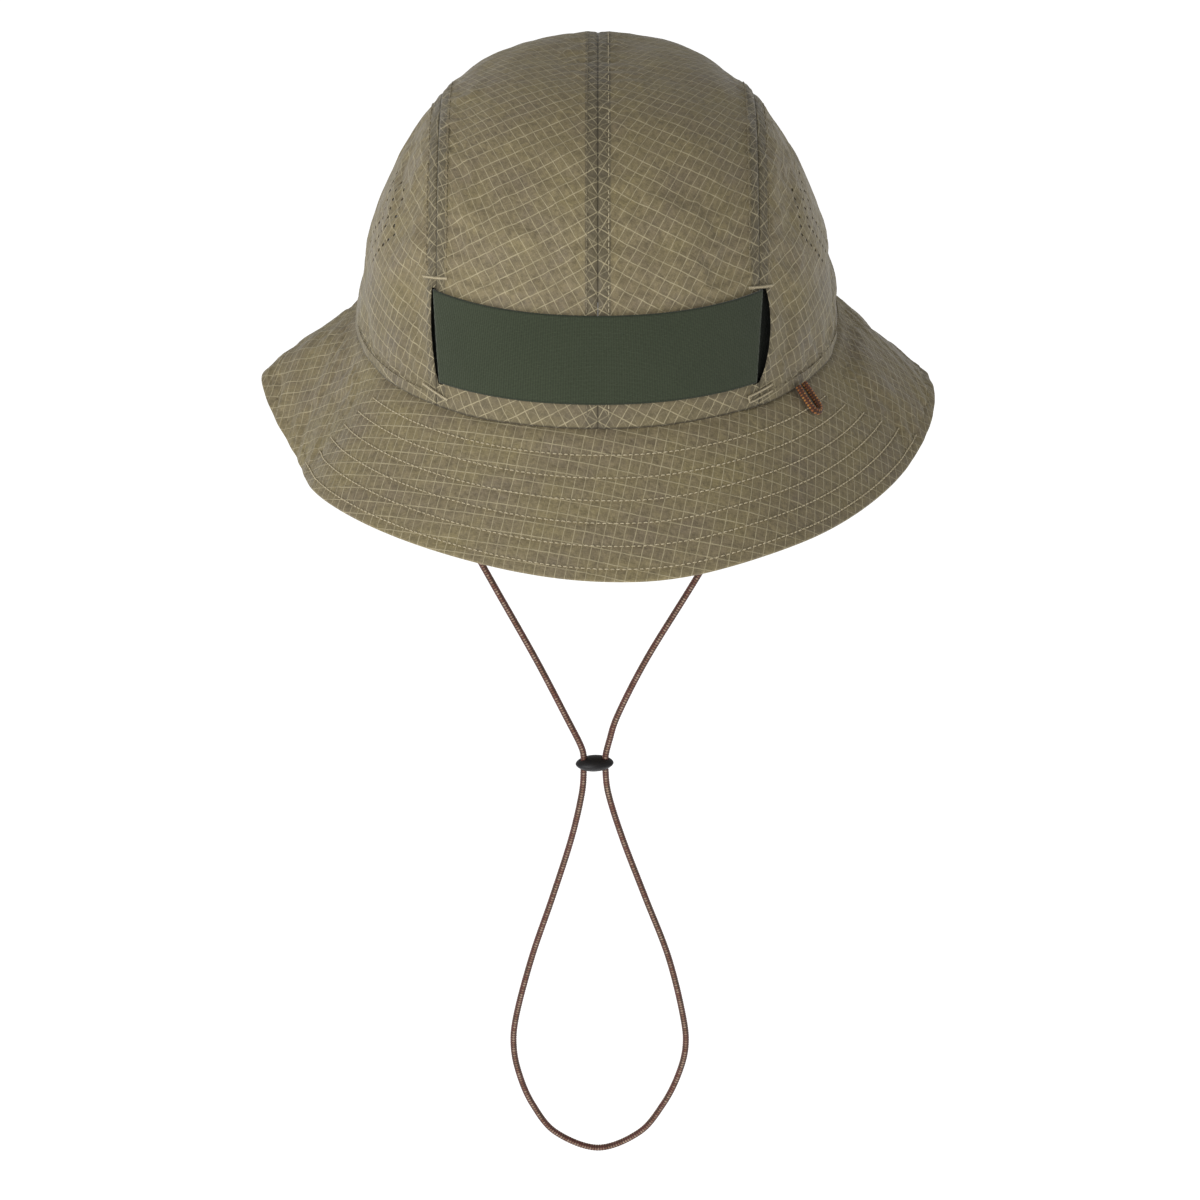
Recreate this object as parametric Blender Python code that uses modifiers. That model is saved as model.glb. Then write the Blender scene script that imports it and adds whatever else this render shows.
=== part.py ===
"""Boonie hat: a crown of four ripstop panels with an elastic front band, a drooping brim with
a stiffened visor, a sweatband, a hanging loop, and a chin cord with a stopper.

Metres, +Z up. The origin is the centre of the head opening, where crown and brim meet.
The front of the hat faces -Y. Angles round the head start at the front and grow towards +X.
"""
import math

import bmesh
import bpy
from mathutils import Matrix, Vector

# Crown: an oval dome. Its outer face is the reference for everything sewn to it.
CROWN_HALF_WIDTH = 0.0885
CROWN_HALF_LENGTH = 0.1045
CROWN_HEIGHT = 0.101
OVAL_POWER = 2.15
WALL_POWER = 3.2
TOP_POWER = 1.42
CLOTH = 0.0008
GAP = 0.0003
CROWN_SEGMENTS = 48
CROWN_RINGS = 24
SLOPE_STEP = 0.0005

# Seams: one in the middle and one on each side, all running front to back over the top.
SIDE_SEAM = 0.057
SLIT_WIDTH = 0.0045
SLIT_BOTTOM = 0.0085
SLIT_TOP = 0.0397
TAPE_WIDTH = 0.013
TAPE_THICKNESS = 0.0005
TAPE_BOTTOM = 0.043

# Elastic band and the tacks that close the slits.
BAND_BOTTOM = 0.0092
BAND_TOP = 0.039
BAND_THICKNESS = 0.001
BAND_END_ANGLE = 62
TACK_LENGTH = 0.009
TACK_RADIUS = 0.0005
TACK_OUT = 0.0009
TACK_RISE = 0.003

# Vent holes: three nested chevrons of holes on each side panel.
VENT_RADIUS = 0.0006
VENT_HEIGHT = 0.047
VENT_FRONT_ANGLE = 68
VENT_PITCH = 0.0026
VENT_ARM_HOLES = 5
VENT_ROWS = 3
VENT_ROW_ANGLE = 5.5
VENT_STEP_ANGLE = 1.3

# Brim: two cloth layers, wider over the face, with a stiffener between them in front.
BRIM_WIDTH = 0.0482
VISOR_EXTRA = 0.008
VISOR_CENTRE = 8
VISOR_SPREAD = 30
BRIM_DROOP = 49
# Soft bends of the brim: where (degrees), how wide (degrees), how much droop (degrees).
BRIM_BENDS = [(-74, 14, 8.5), (-96, 9, -13), (92, 20, -11), (26, 13, -5.5), (-150, 28, 3), (150, 30, 2)]
BRIM_SEGMENTS = 72
BRIM_STEPS = 2
BRIM_INSET = 0.0004
UNDERSIDE_START = 0.05
STIFFENER_THICKNESS = 0.0006
STIFFENER_ANGLE = 58
ROW_COUNT = 6
FIRST_ROW = 0.173
ROW_STEP = 0.149
ROW_LEFT_END = -65
ROW_RIGHT_END = 75
THREAD_RADIUS = 0.00025

# Sweatband, its label, and the loop that hangs the hat up.
SWEATBAND_SEGMENTS = 48
SWEATBAND_HEIGHT = 0.032
SWEATBAND_THICKNESS = 0.0012
SWEATBAND_INSET = 0.0031
LABEL_FIRST_SEGMENT = 20
LABEL_SEGMENTS = 3
LABEL_THICKNESS = 0.0004
HANGER_ANGLE = 52.5
HANGER_LENGTH = 0.0105
HANGER_HALF_WIDTH = 0.0026
HANGER_RADIUS = 0.0012

# Chin cord: one round cord from tab to tab, through the stopper's two holes.
CORD_RADIUS = 0.00125
CORD_Y = -0.037
TAB_X = 0.0807
TAB_SIZE = (0.0016, 0.009, 0.0038)
TAB_TOP = 0.0
CORD_ROUTE_MM = [
    (-80.7, -6), (-69, -29.5), (-54, -60), (-38.5, -91), (-23.3, -121), (-11.6, -146), (-6.6, -157),
    (-5.4, -162), (-5.4, -167.5), (-6.2, -178), (-10.2, -197), (-17.4, -222), (-25.4, -248),
    (-31.6, -274), (-32.7, -288), (-30.4, -301), (-25.4, -314), (-16.5, -326.5), (0, -333.5),
    (16, -326.5), (25.2, -314), (31, -301), (33.9, -288), (32.8, -274), (27, -248), (18, -222),
    (9.4, -197), (4, -178), (2.8, -167.5), (2.8, -162), (4.3, -155), (7.6, -144), (18.2, -121),
    (34.8, -91), (51.5, -60), (67.8, -29.5), (80.7, -6),
]
CORD_SAMPLES = 70
STOPPER_CENTRE = (-0.0013, CORD_Y, -0.1647)
STOPPER_HALF = (0.0072, 0.0047, 0.0028)
STOPPER_HOLE_X = 0.0041
STOPPER_HOLE_RADIUS = 0.0017

RIPSTOP = (0.215, 0.180, 0.100)
SEAM_CLOTH = (0.165, 0.140, 0.085)
BAND_GREEN = (0.050, 0.065, 0.040)
THREAD = (0.420, 0.380, 0.250)
SWEAT_CLOTH = (0.090, 0.090, 0.070)
FOAM = (0.600, 0.600, 0.580)
LABEL_CLOTH = (0.700, 0.700, 0.680)
CORD_BROWN = (0.150, 0.075, 0.045)
STOPPER_BLACK = (0.012, 0.012, 0.013)


def signed_power(value, power):
    return math.copysign(abs(value) ** power, value)


def oval_point(angle, half_width, half_length):
    """A point of the head's oval at an angle (degrees) from the front."""
    a = math.radians(angle)
    x = half_width * signed_power(math.sin(a), 2 / OVAL_POWER)
    y = -half_length * signed_power(math.cos(a), 2 / OVAL_POWER)
    return Vector((x, y, 0))


def oval_normal(point, half_width, half_length):
    """The level direction straight out of the oval at one of its points."""
    nx = signed_power(point.x / half_width, OVAL_POWER - 1) / half_width
    ny = signed_power(point.y / half_length, OVAL_POWER - 1) / half_length
    return Vector((nx, ny, 0)).normalized()


def wall_scale(z):
    """How much of its bottom oval the crown keeps at height z."""
    rise = min(max(z / CROWN_HEIGHT, 0), 1)
    return (1 - rise ** TOP_POWER) ** (1 / WALL_POWER)


def crown_point(angle, z, out=0.0):
    """A point of the crown's wall at an angle and a height, moved out along the normal."""
    scale = wall_scale(z)
    half_width = CROWN_HALF_WIDTH * scale
    half_length = CROWN_HALF_LENGTH * scale
    base = oval_point(angle, half_width, half_length)
    level = oval_normal(base, half_width, half_length)
    low = max(z - SLOPE_STEP, 0)
    high = z + SLOPE_STEP
    whole = oval_point(angle, CROWN_HALF_WIDTH, CROWN_HALF_LENGTH)
    lean = whole * (wall_scale(high) - wall_scale(low))
    slope = -lean.dot(level) / (high - low)
    normal = (level + Vector((0, 0, slope))).normalized()
    return base + Vector((0, 0, z)) + normal * out


def brim_shape(angle):
    """The brim's width and droop at an angle round the head."""
    around = (angle + 180) % 360 - 180
    width = BRIM_WIDTH + VISOR_EXTRA * math.exp(-((around - VISOR_CENTRE) / VISOR_SPREAD) ** 2)
    droop = BRIM_DROOP
    for centre, spread, amount in BRIM_BENDS:
        away = (around - centre + 180) % 360 - 180
        droop += amount * math.exp(-(away / spread) ** 2)
    return width, math.radians(droop)


def brim_point(angle, across, up=0.0):
    """A point of the brim's upper face; across is 0 at the crown and 1 at the edge."""
    half_width = CROWN_HALF_WIDTH - BRIM_INSET
    half_length = CROWN_HALF_LENGTH - BRIM_INSET
    base = oval_point(angle, half_width, half_length)
    level = oval_normal(base, half_width, half_length)
    width, droop = brim_shape(angle)
    down = level * math.cos(droop) - Vector((0, 0, math.sin(droop)))
    normal = level * math.sin(droop) + Vector((0, 0, math.cos(droop)))
    return base + down * (across * width) + normal * up


# Scene and small builders

for old in list(bpy.data.objects):
    bpy.data.objects.remove(old, do_unlink=True)

hat = bpy.data.collections.new("boonie_hat")
bpy.context.scene.collection.children.link(hat)
cutters = bpy.data.collections.new("cutters")
bpy.context.scene.collection.children.link(cutters)


def make_material(name, colour, roughness):
    material = bpy.data.materials.new(name)
    material.use_nodes = True
    shader = material.node_tree.nodes["Principled BSDF"]
    shader.inputs["Base Color"].default_value = (*colour, 1)
    shader.inputs["Roughness"].default_value = roughness
    shader.inputs["Metallic"].default_value = 0
    return material


def add_object(name, mesh, material, collection=hat):
    obj = bpy.data.objects.new(name, mesh)
    if material:
        mesh.materials.append(material)
    collection.objects.link(obj)
    return obj


def mesh_from(bm, name, smooth=True):
    bmesh.ops.recalc_face_normals(bm, faces=bm.faces)
    mesh = bpy.data.meshes.new(name)
    bm.to_mesh(mesh)
    bm.free()
    if smooth:
        mesh.shade_smooth()
        mesh.set_sharp_from_angle(angle=math.radians(40))
    return mesh


def grid_sheet(rows, closed=False):
    """An open sheet of quads through rows of points; closed joins each row's ends."""
    bm = bmesh.new()
    verts = [[bm.verts.new(point) for point in row] for row in rows]
    count = len(rows[0])
    last = count if closed else count - 1
    for lower, upper in zip(verts, verts[1:]):
        for i in range(last):
            j = (i + 1) % count
            bm.faces.new((lower[i], lower[j], upper[j], upper[i]))
    return bm


def solidify(obj, thickness, offset=-1.0):
    modifier = obj.modifiers.new("Thickness", "SOLIDIFY")
    modifier.thickness = thickness
    modifier.offset = offset
    modifier.use_even_offset = True
    return modifier


def boolean(obj, cutter, operation="DIFFERENCE"):
    cutter.hide_render = True
    cutter.display_type = "WIRE"
    modifier = obj.modifiers.new("Cut", "BOOLEAN")
    modifier.operation = operation
    modifier.solver = "EXACT"
    modifier.object = cutter


def box_cutter(name, low, high):
    bm = bmesh.new()
    size = Vector(high) - Vector(low)
    centre = (Vector(high) + Vector(low)) / 2
    bmesh.ops.create_cube(bm, size=1, matrix=Matrix.Translation(centre) @ Matrix.Diagonal((*size, 1)))
    return add_object(name, mesh_from(bm, name, smooth=False), None, cutters)


def dome_patch(name, low_x, high_x, low_z=GAP, out=0.0):
    """The part of the crown's dome between two upright planes, as an open sheet."""
    bm = bmesh.new()
    bmesh.ops.create_uvsphere(bm, u_segments=CROWN_SEGMENTS, v_segments=CROWN_RINGS, radius=1)
    for vert in bm.verts:
        rise = math.asin(min(max(vert.co.z, -1), 1)) / (math.pi / 2)
        angle = math.degrees(math.atan2(vert.co.x, -vert.co.y))
        if rise > 0.999:
            vert.co = Vector((0, 0, CROWN_HEIGHT + out))
        else:
            height = CROWN_HEIGHT * math.sin(max(rise, 0) * math.pi / 2) ** (2 / TOP_POWER)
            vert.co = crown_point(angle, height, out)
            if rise < 0:
                vert.co.z = -CROWN_HEIGHT * -rise
    planes = [((0, 0, low_z), (0, 0, -1)), ((low_x, 0, 0), (-1, 0, 0)), ((high_x, 0, 0), (1, 0, 0))]
    for place, normal in planes:
        if abs(place[0]) >= CROWN_HALF_WIDTH:
            continue
        geometry = bm.verts[:] + bm.edges[:] + bm.faces[:]
        bmesh.ops.bisect_plane(bm, geom=geometry, dist=1e-6, plane_co=place, plane_no=normal,
                               clear_outer=True)
    bmesh.ops.remove_doubles(bm, verts=bm.verts, dist=5e-5)
    return mesh_from(bm, name)


def tube(name, points, radius, material, sides=2):
    """A round cord or thread along points, with closed ends."""
    curve = bpy.data.curves.new(name, "CURVE")
    curve.dimensions = "3D"
    curve.bevel_depth = radius
    curve.bevel_resolution = sides
    curve.use_fill_caps = True
    spline = curve.splines.new("POLY")
    spline.points.add(len(points) - 1)
    for spot, point in zip(spline.points, points):
        spot.co = (*point, 1)
    return add_object(name, curve, material)


def smooth_path(points, count):
    """Evenly spaced samples of a smooth curve through hand-placed points."""
    fine = []
    padded = [points[0] * 2 - points[1]] + points + [points[-1] * 2 - points[-2]]
    for before, start, end, after in zip(padded, padded[1:], padded[2:], padded[3:]):
        for step in range(12):
            t = step / 12
            fine.append(0.5 * (2 * start + (end - before) * t
                        + (2 * before - 5 * start + 4 * end - after) * t ** 2
                        + (3 * start - before - 3 * end + after) * t ** 3))
    fine.append(points[-1])
    reach = [0.0]
    for a, b in zip(fine, fine[1:]):
        reach.append(reach[-1] + (b - a).length)
    path = []
    spot = 0
    for step in range(count):
        goal = reach[-1] * step / (count - 1)
        while spot < len(fine) - 2 and reach[spot + 1] < goal:
            spot += 1
        share = (goal - reach[spot]) / (reach[spot + 1] - reach[spot])
        path.append(fine[spot].lerp(fine[spot + 1], share))
    return path


ripstop = make_material("ripstop", RIPSTOP, 0.7)
seam_cloth = make_material("seam_tape", SEAM_CLOTH, 0.8)
band_green = make_material("elastic", BAND_GREEN, 0.85)
thread = make_material("thread", THREAD, 0.6)
sweat_cloth = make_material("sweatband", SWEAT_CLOTH, 0.9)
foam = make_material("stiffener", FOAM, 0.9)
label_cloth = make_material("label", LABEL_CLOTH, 0.7)
cord_brown = make_material("cord", CORD_BROWN, 0.7)
stopper_black = make_material("stopper", STOPPER_BLACK, 0.4)


# Crown: two centre panels and two side panels. Each side panel is cut back along the slit.

def vent_cutter(name, side):
    """All vent holes of one side panel, as hexagonal pins through the cloth."""
    bm = bmesh.new()
    for row in range(VENT_ROWS):
        for step in range(-VENT_ARM_HOLES, VENT_ARM_HOLES + 1):
            angle = side * (VENT_FRONT_ANGLE + row * VENT_ROW_ANGLE + abs(step) * VENT_STEP_ANGLE)
            height = VENT_HEIGHT + step * VENT_PITCH
            inner = crown_point(angle, height, -0.003)
            outer = crown_point(angle, height, 0.002)
            turn = (outer - inner).to_track_quat("Z", "Y").to_matrix().to_4x4()
            place = Matrix.Translation((inner + outer) / 2) @ turn
            bmesh.ops.create_cone(bm, cap_ends=True, segments=6, radius1=VENT_RADIUS,
                                  radius2=VENT_RADIUS, depth=(outer - inner).length, matrix=place)
    return add_object(name, mesh_from(bm, name, smooth=False), None, cutters)


for side, word in ((-1, "left"), (1, "right")):
    inner_edge, outer_edge = sorted((side * GAP / 2, side * (SIDE_SEAM - GAP / 2)))
    name = f"crown_centre_{word}"
    centre = add_object(name, dome_patch(name, inner_edge, outer_edge), ripstop)
    solidify(centre, CLOTH)

    inner_edge, outer_edge = sorted((side * (SIDE_SEAM + GAP / 2), side * CROWN_HALF_WIDTH))
    name = f"crown_side_{word}"
    panel = add_object(name, dome_patch(name, inner_edge, outer_edge), ripstop)
    solidify(panel, CLOTH)
    slit_near, slit_far = sorted((side * (SIDE_SEAM - 0.002), side * (SIDE_SEAM + SLIT_WIDTH)))
    slit = box_cutter(f"slit_cutter_{word}", (slit_near, -0.11, SLIT_BOTTOM), (slit_far, -0.04, SLIT_TOP))
    boolean(panel, slit)
    boolean(panel, vent_cutter(f"vent_cutter_{word}", side))


# Seam tapes: strips sewn over the inside of the three seams.

for name, middle in (("centre_seam_tape", 0), ("left_seam_tape", -SIDE_SEAM),
                     ("right_seam_tape", SIDE_SEAM)):
    patch = dome_patch(name, middle - TAPE_WIDTH / 2, middle + TAPE_WIDTH / 2, TAPE_BOTTOM,
                       -(CLOTH + GAP))
    solidify(add_object(name, patch, seam_cloth), TAPE_THICKNESS)


# Elastic band: outside the centre panels, in through both slits, and on behind the side panels.

OUTER_OFFSET = GAP + BAND_THICKNESS / 2
INNER_OFFSET = -(CLOTH + 2 * GAP + BAND_THICKNESS / 2)


def band_offset(angle, z):
    """How far the band's middle lies outside the crown's wall."""
    x = abs(crown_point(angle, z).x)
    share = (x - SIDE_SEAM - 0.0001) / (SLIT_WIDTH - 0.0004)
    share = min(max(share, 0), 1)
    share = share * share * (3 - 2 * share)
    return OUTER_OFFSET + (INNER_OFFSET - OUTER_OFFSET) * share


band_angles = [0, 8, 16, 23, 29, 33.5, 36, 37.5, 39, 40.2, 41.4, 42.6, 43.8, 45, 46.4, 48, 51,
               BAND_END_ANGLE]
band_angles = [-angle for angle in reversed(band_angles[1:])] + band_angles
band_heights = [BAND_BOTTOM + (BAND_TOP - BAND_BOTTOM) * step / 4 for step in range(5)]
band_rows = [[crown_point(angle, z, band_offset(angle, z)) for angle in band_angles]
             for z in band_heights]
band = add_object("elastic_band", mesh_from(grid_sheet(band_rows), "elastic_band"), band_green)
solidify(band, BAND_THICKNESS, 0)


# Bar tacks: a short bar of dense stitches across each end of each slit.

def angle_at(x, z):
    """The angle at which the crown's wall reaches a distance x from the middle plane."""
    reach = x / (CROWN_HALF_WIDTH * wall_scale(z))
    return math.degrees(math.asin(signed_power(reach, OVAL_POWER / 2)))


for word, z in (("bottom", SLIT_BOTTOM - TACK_RISE), ("top", SLIT_TOP + TACK_RISE)):
    for side, hand in ((-1, "left"), (1, "right")):
        span = [side * (SIDE_SEAM + (step / 4 - 0.5) * TACK_LENGTH) for step in range(5)]
        points = [crown_point(angle_at(x, z), z, TACK_OUT) for x in span]
        tube(f"bar_tack_{word}_{hand}", points, TACK_RADIUS, thread, 1)


# Brim: upper and lower cloth with the stiffener between, and the stitch rows on top.

def layer_gap(angle):
    """The space between the two brim layers, wide enough for the stiffener in front."""
    share = min(max((75 - abs(angle)) / 15, 0), 1)
    return GAP + (GAP + STIFFENER_THICKNESS) * share


ring_angles = [360 * step / BRIM_SEGMENTS - 180 for step in range(BRIM_SEGMENTS)]
brim_steps = [step / BRIM_STEPS for step in range(BRIM_STEPS + 1)]
top_rows = [[brim_point(angle, across) for angle in ring_angles] for across in brim_steps]
brim_top = add_object("brim_top", mesh_from(grid_sheet(top_rows, True), "brim_top"), ripstop)
under_steps = [UNDERSIDE_START + (1 - UNDERSIDE_START) * across for across in brim_steps]
under_rows = [[brim_point(angle, across, -CLOTH - layer_gap(angle)) for angle in ring_angles]
              for across in under_steps]
brim_under = add_object("brim_underside", mesh_from(grid_sheet(under_rows, True), "brim_underside"),
                        ripstop)

stiff_angles = [STIFFENER_ANGLE * (step / 12 - 1) for step in range(25)]
stiff_rows = [[brim_point(angle, across, -CLOTH - GAP) for angle in stiff_angles]
              for across in (0.1, 0.37, 0.65, 0.93)]
stiffener = add_object("visor_stiffener", mesh_from(grid_sheet(stiff_rows), "visor_stiffener"), foam)
for layer, thickness in ((brim_top, CLOTH), (brim_under, CLOTH), (stiffener, STIFFENER_THICKNESS)):
    for polygon in layer.data.polygons:
        if polygon.normal.z < 0:
            polygon.flip()
    solidify(layer, thickness)

for row in range(ROW_COUNT):
    across = FIRST_ROW + ROW_STEP * row
    row_angles = [ROW_LEFT_END + (ROW_RIGHT_END - ROW_LEFT_END) * step / 28 for step in range(29)]
    points = [brim_point(angle, across, GAP + THREAD_RADIUS) for angle in row_angles]
    tube(f"visor_stitch_row_{row + 1}", points, THREAD_RADIUS, thread, 0)


# Sweatband: a ring of cloth inside the crown's edge, with a blank label at the back.

sweat_heights = [GAP + (SWEATBAND_HEIGHT - GAP) * step / 3 for step in range(4)]
sweat_angles = [360 * step / SWEATBAND_SEGMENTS for step in range(SWEATBAND_SEGMENTS)]
sweat_rows = [[crown_point(angle, z, -SWEATBAND_INSET) for angle in sweat_angles]
              for z in sweat_heights]
sweatband = add_object("sweatband", mesh_from(grid_sheet(sweat_rows, True), "sweatband"),
                       sweat_cloth)
solidify(sweatband, SWEATBAND_THICKNESS)

label_inset = SWEATBAND_INSET + SWEATBAND_THICKNESS + GAP
label_angles = sweat_angles[LABEL_FIRST_SEGMENT:LABEL_FIRST_SEGMENT + LABEL_SEGMENTS + 1]
label_rows = [[crown_point(angle, z, -label_inset) for angle in label_angles]
              for z in sweat_heights[:-1]]
label = add_object("care_label", mesh_from(grid_sheet(label_rows), "care_label"), label_cloth)
solidify(label, LABEL_THICKNESS)


# Hanging loop: a short cord doubled back and sewn into the seam between crown and brim.

hanger_pivot = brim_point(HANGER_ANGLE, 0.0) + Vector((0, 0, 0.0007))
hanger_out = oval_normal(hanger_pivot, CROWN_HALF_WIDTH, CROWN_HALF_LENGTH)
hanger_pivot += hanger_out * 0.0022
hanger_along = Vector((-hanger_out.y, hanger_out.x, 0))
hanger_droop = brim_shape(HANGER_ANGLE)[1]
hanger_down = hanger_out * math.cos(hanger_droop) - Vector((0, 0, math.sin(hanger_droop)))
straight = HANGER_LENGTH - HANGER_HALF_WIDTH
outline = [(-HANGER_HALF_WIDTH, 0), (-HANGER_HALF_WIDTH, straight / 2)]
for step in range(9):
    turn = math.pi * step / 8
    outline.append((-HANGER_HALF_WIDTH * math.cos(turn), straight + HANGER_HALF_WIDTH * math.sin(turn)))
outline += [(HANGER_HALF_WIDTH, straight / 2), (HANGER_HALF_WIDTH, 0)]
hanger_points = [hanger_along * along + hanger_down * down for along, down in outline]
hanger = tube("hanging_loop", hanger_points, HANGER_RADIUS, cord_brown)
hanger.location = hanger_pivot


# Chin cord with its sewn tabs and its stopper.

for side, hand in ((-1, "left"), (1, "right")):
    width, length, height = TAB_SIZE
    bm = bmesh.new()
    bmesh.ops.create_cube(bm, size=1, matrix=Matrix.Diagonal((width, length, height, 1)))
    tab = add_object(f"cord_tab_{hand}", mesh_from(bm, f"cord_tab_{hand}", smooth=False), sweat_cloth)
    tab.location = (side * TAB_X, CORD_Y, TAB_TOP - height / 2)
    bevel = tab.modifiers.new("Rounded", "BEVEL")
    bevel.width = 0.0004
    bevel.segments = 1

cord_pivot = bpy.data.objects.new("chin_cord_pivot", None)
cord_pivot.location = (0, CORD_Y, CORD_ROUTE_MM[0][1] / 1000)
hat.objects.link(cord_pivot)
route = [Vector((x / 1000, CORD_Y, z / 1000)) - cord_pivot.location for x, z in CORD_ROUTE_MM]
chin_cord = tube("chin_cord", smooth_path(route, CORD_SAMPLES), CORD_RADIUS, cord_brown)
chin_cord.parent = cord_pivot

bm = bmesh.new()
bmesh.ops.create_uvsphere(bm, u_segments=20, v_segments=10, radius=1,
                          matrix=Matrix.Diagonal((*STOPPER_HALF, 1)))
stopper = add_object("cord_stopper", mesh_from(bm, "cord_stopper"), stopper_black)
stopper.location = Vector(STOPPER_CENTRE) - cord_pivot.location
stopper.parent = cord_pivot
bm = bmesh.new()
for side in (-1, 1):
    place = Matrix.Translation((side * STOPPER_HOLE_X, 0, 0))
    bmesh.ops.create_cone(bm, cap_ends=True, segments=12, radius1=STOPPER_HOLE_RADIUS,
                          radius2=STOPPER_HOLE_RADIUS, depth=0.02, matrix=place)
holes = add_object("stopper_hole_cutter", mesh_from(bm, "stopper_hole_cutter", smooth=False), None, cutters)
holes.location = STOPPER_CENTRE
boolean(stopper, holes)
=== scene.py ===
"""The looks of the boonie hat: ripstop crown and brim, elastic band, stitching, chin cord."""

import math

import bmesh
import bpy
import numpy as np
from mathutils import Matrix, Vector, noise


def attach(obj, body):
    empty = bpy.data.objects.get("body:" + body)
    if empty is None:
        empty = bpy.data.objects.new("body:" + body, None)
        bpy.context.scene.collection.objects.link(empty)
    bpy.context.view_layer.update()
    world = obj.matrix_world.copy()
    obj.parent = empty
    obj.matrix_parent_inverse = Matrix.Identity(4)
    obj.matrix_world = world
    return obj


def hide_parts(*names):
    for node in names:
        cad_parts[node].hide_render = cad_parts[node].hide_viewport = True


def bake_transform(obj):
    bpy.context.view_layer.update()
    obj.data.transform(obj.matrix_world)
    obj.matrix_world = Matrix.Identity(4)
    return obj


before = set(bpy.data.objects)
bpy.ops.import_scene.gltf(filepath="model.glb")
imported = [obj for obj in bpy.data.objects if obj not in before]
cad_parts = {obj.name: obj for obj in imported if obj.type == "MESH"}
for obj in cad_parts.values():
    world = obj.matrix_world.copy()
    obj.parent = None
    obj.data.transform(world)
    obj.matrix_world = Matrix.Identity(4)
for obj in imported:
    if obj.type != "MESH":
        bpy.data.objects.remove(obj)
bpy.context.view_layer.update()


# Studio: a seamless pale floor well below the cord, one broad soft lamp at the front left and an
# even white room around it. The camera looks slightly down at the front of the hat.

CAMERA_DISTANCE = 1.75
CAMERA_RISE = 21.5
CAMERA_AIM = 24.89
CAMERA_SIDE = 0.00074
LENS = 141.9
FLOOR_HEIGHT = -0.40
FLOOR_SIZE = 120.0
FLOOR_GLOW = 0.72
ROOM_LIGHT = 0.34
KEY_LIGHT = 27.0
KEY_PLACE = (-1.35, -1.85, 0.95)
KEY_SIZE = 1.3
WHITE = (1, 1, 1, 1)


def new_object(name, data):
    made = bpy.data.objects.new(name, data)
    bpy.context.scene.collection.objects.link(made)
    return made


def add_shade(tree, kind, *inputs, output=0, sockets=None, **settings):
    """One shader node: its first sockets in order, further sockets by key, and its settings."""
    made = tree.nodes.new("ShaderNode" + kind)
    for key, value in settings.items():
        setattr(made, key, value)
    pairs = list(zip(made.inputs, inputs))
    pairs += [(made.inputs[key], value) for key, value in (sockets or {}).items()]
    for socket, value in pairs:
        if isinstance(value, bpy.types.NodeSocket):
            tree.links.new(value, socket)
        elif value is not None:
            socket.default_value = value
    return made.outputs[output]


def noise_shade(tree, vector, scale, detail=2.0, roughness=0.5):
    return add_shade(tree, "TexNoise", sockets={"Vector": vector, "Scale": scale, "Detail": detail,
                                                "Roughness": roughness})


def mix_colours(tree, share, first, second, blend="MIX"):
    """One colour blended over another by a share."""
    return add_shade(tree, "Mix", output=2, data_type="RGBA", blend_type=blend,
                     sockets={0: share, 6: first, 7: second})


def dress(tree, shader, tone, height=None, strength=0.5, distance=0.0002):
    """Gives a shader its colour and, where there is a height, a fine relief."""
    tree.links.new(tone, shader.inputs["Base Color"])
    if height is not None:
        bump = add_shade(tree, "Bump",
                         sockets={"Strength": strength, "Distance": distance, "Height": height})
        tree.links.new(bump, shader.inputs["Normal"])


def new_material(name, **values):
    """A material with one Principled shader whose even values are set on its own sockets."""
    material = bpy.data.materials.new(name)
    material.use_nodes = True
    shader = material.node_tree.nodes["Principled BSDF"]
    for socket, value in values.items():
        shader.inputs[socket.replace("_", " ")].default_value = value
    return material, material.node_tree, shader


def colour(red, green, blue):
    """A linear colour from the 0 to 255 values a dyer's chart gives."""
    parts = [part / 255 for part in (red, green, blue)]
    linear = [part / 12.92 if part < 0.04 else ((part + 0.055) / 1.055) ** 2.4 for part in parts]
    return (*linear, 1.0)


rise, aim = math.radians(CAMERA_RISE), math.radians(CAMERA_AIM)
camera = new_object("camera", bpy.data.cameras.new("camera"))
camera.data.lens = LENS
camera.data.sensor_width = 36
camera.location = (CAMERA_SIDE, -CAMERA_DISTANCE * math.cos(rise), CAMERA_DISTANCE * math.sin(rise))
camera.rotation_euler = (math.pi / 2 - aim, 0, 0)
bpy.context.scene.camera = camera
bpy.context.scene.view_settings.view_transform = "Standard"

floor = new_object("studio_floor", bpy.data.meshes.new("studio_floor"))
corner = FLOOR_SIZE / 2
floor.data.from_pydata([(-corner, -corner, 0), (corner, -corner, 0), (corner, corner, 0),
                        (-corner, corner, 0)], [], [(0, 1, 2, 3)])
floor.location.z = FLOOR_HEIGHT
floor_paint, floor_tree, floor_shader = new_material("studio_paint", Roughness=0.9,
                                                     Emission_Strength=FLOOR_GLOW, Emission_Color=WHITE)
dress(floor_tree, floor_shader, mix_colours(floor_tree, noise_shade(floor_tree, None, 3.0),
                                            (0.93, 0.93, 0.93, 1), (0.97, 0.97, 0.97, 1)))
floor.data.materials.append(floor_paint)

lamp = new_object("key_lamp", bpy.data.lights.new("key_lamp", "AREA"))
lamp.data.energy = KEY_LIGHT
lamp.data.size = KEY_SIZE
lamp.location = KEY_PLACE
lamp.rotation_euler = (-Vector(KEY_PLACE)).to_track_quat("-Z", "Y").to_euler()

room = bpy.data.worlds.new("studio_room")
room.use_nodes = True
room.node_tree.nodes["Background"].inputs["Color"].default_value = WHITE
room.node_tree.nodes["Background"].inputs["Strength"].default_value = ROOM_LIGHT
bpy.context.scene.world = room


# Crown centre panels: two panels of thin ripstop nylon, sewn to each other along the top and
# turned on the bias so that their woven grids meet in a chevron at the seam.

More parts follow.
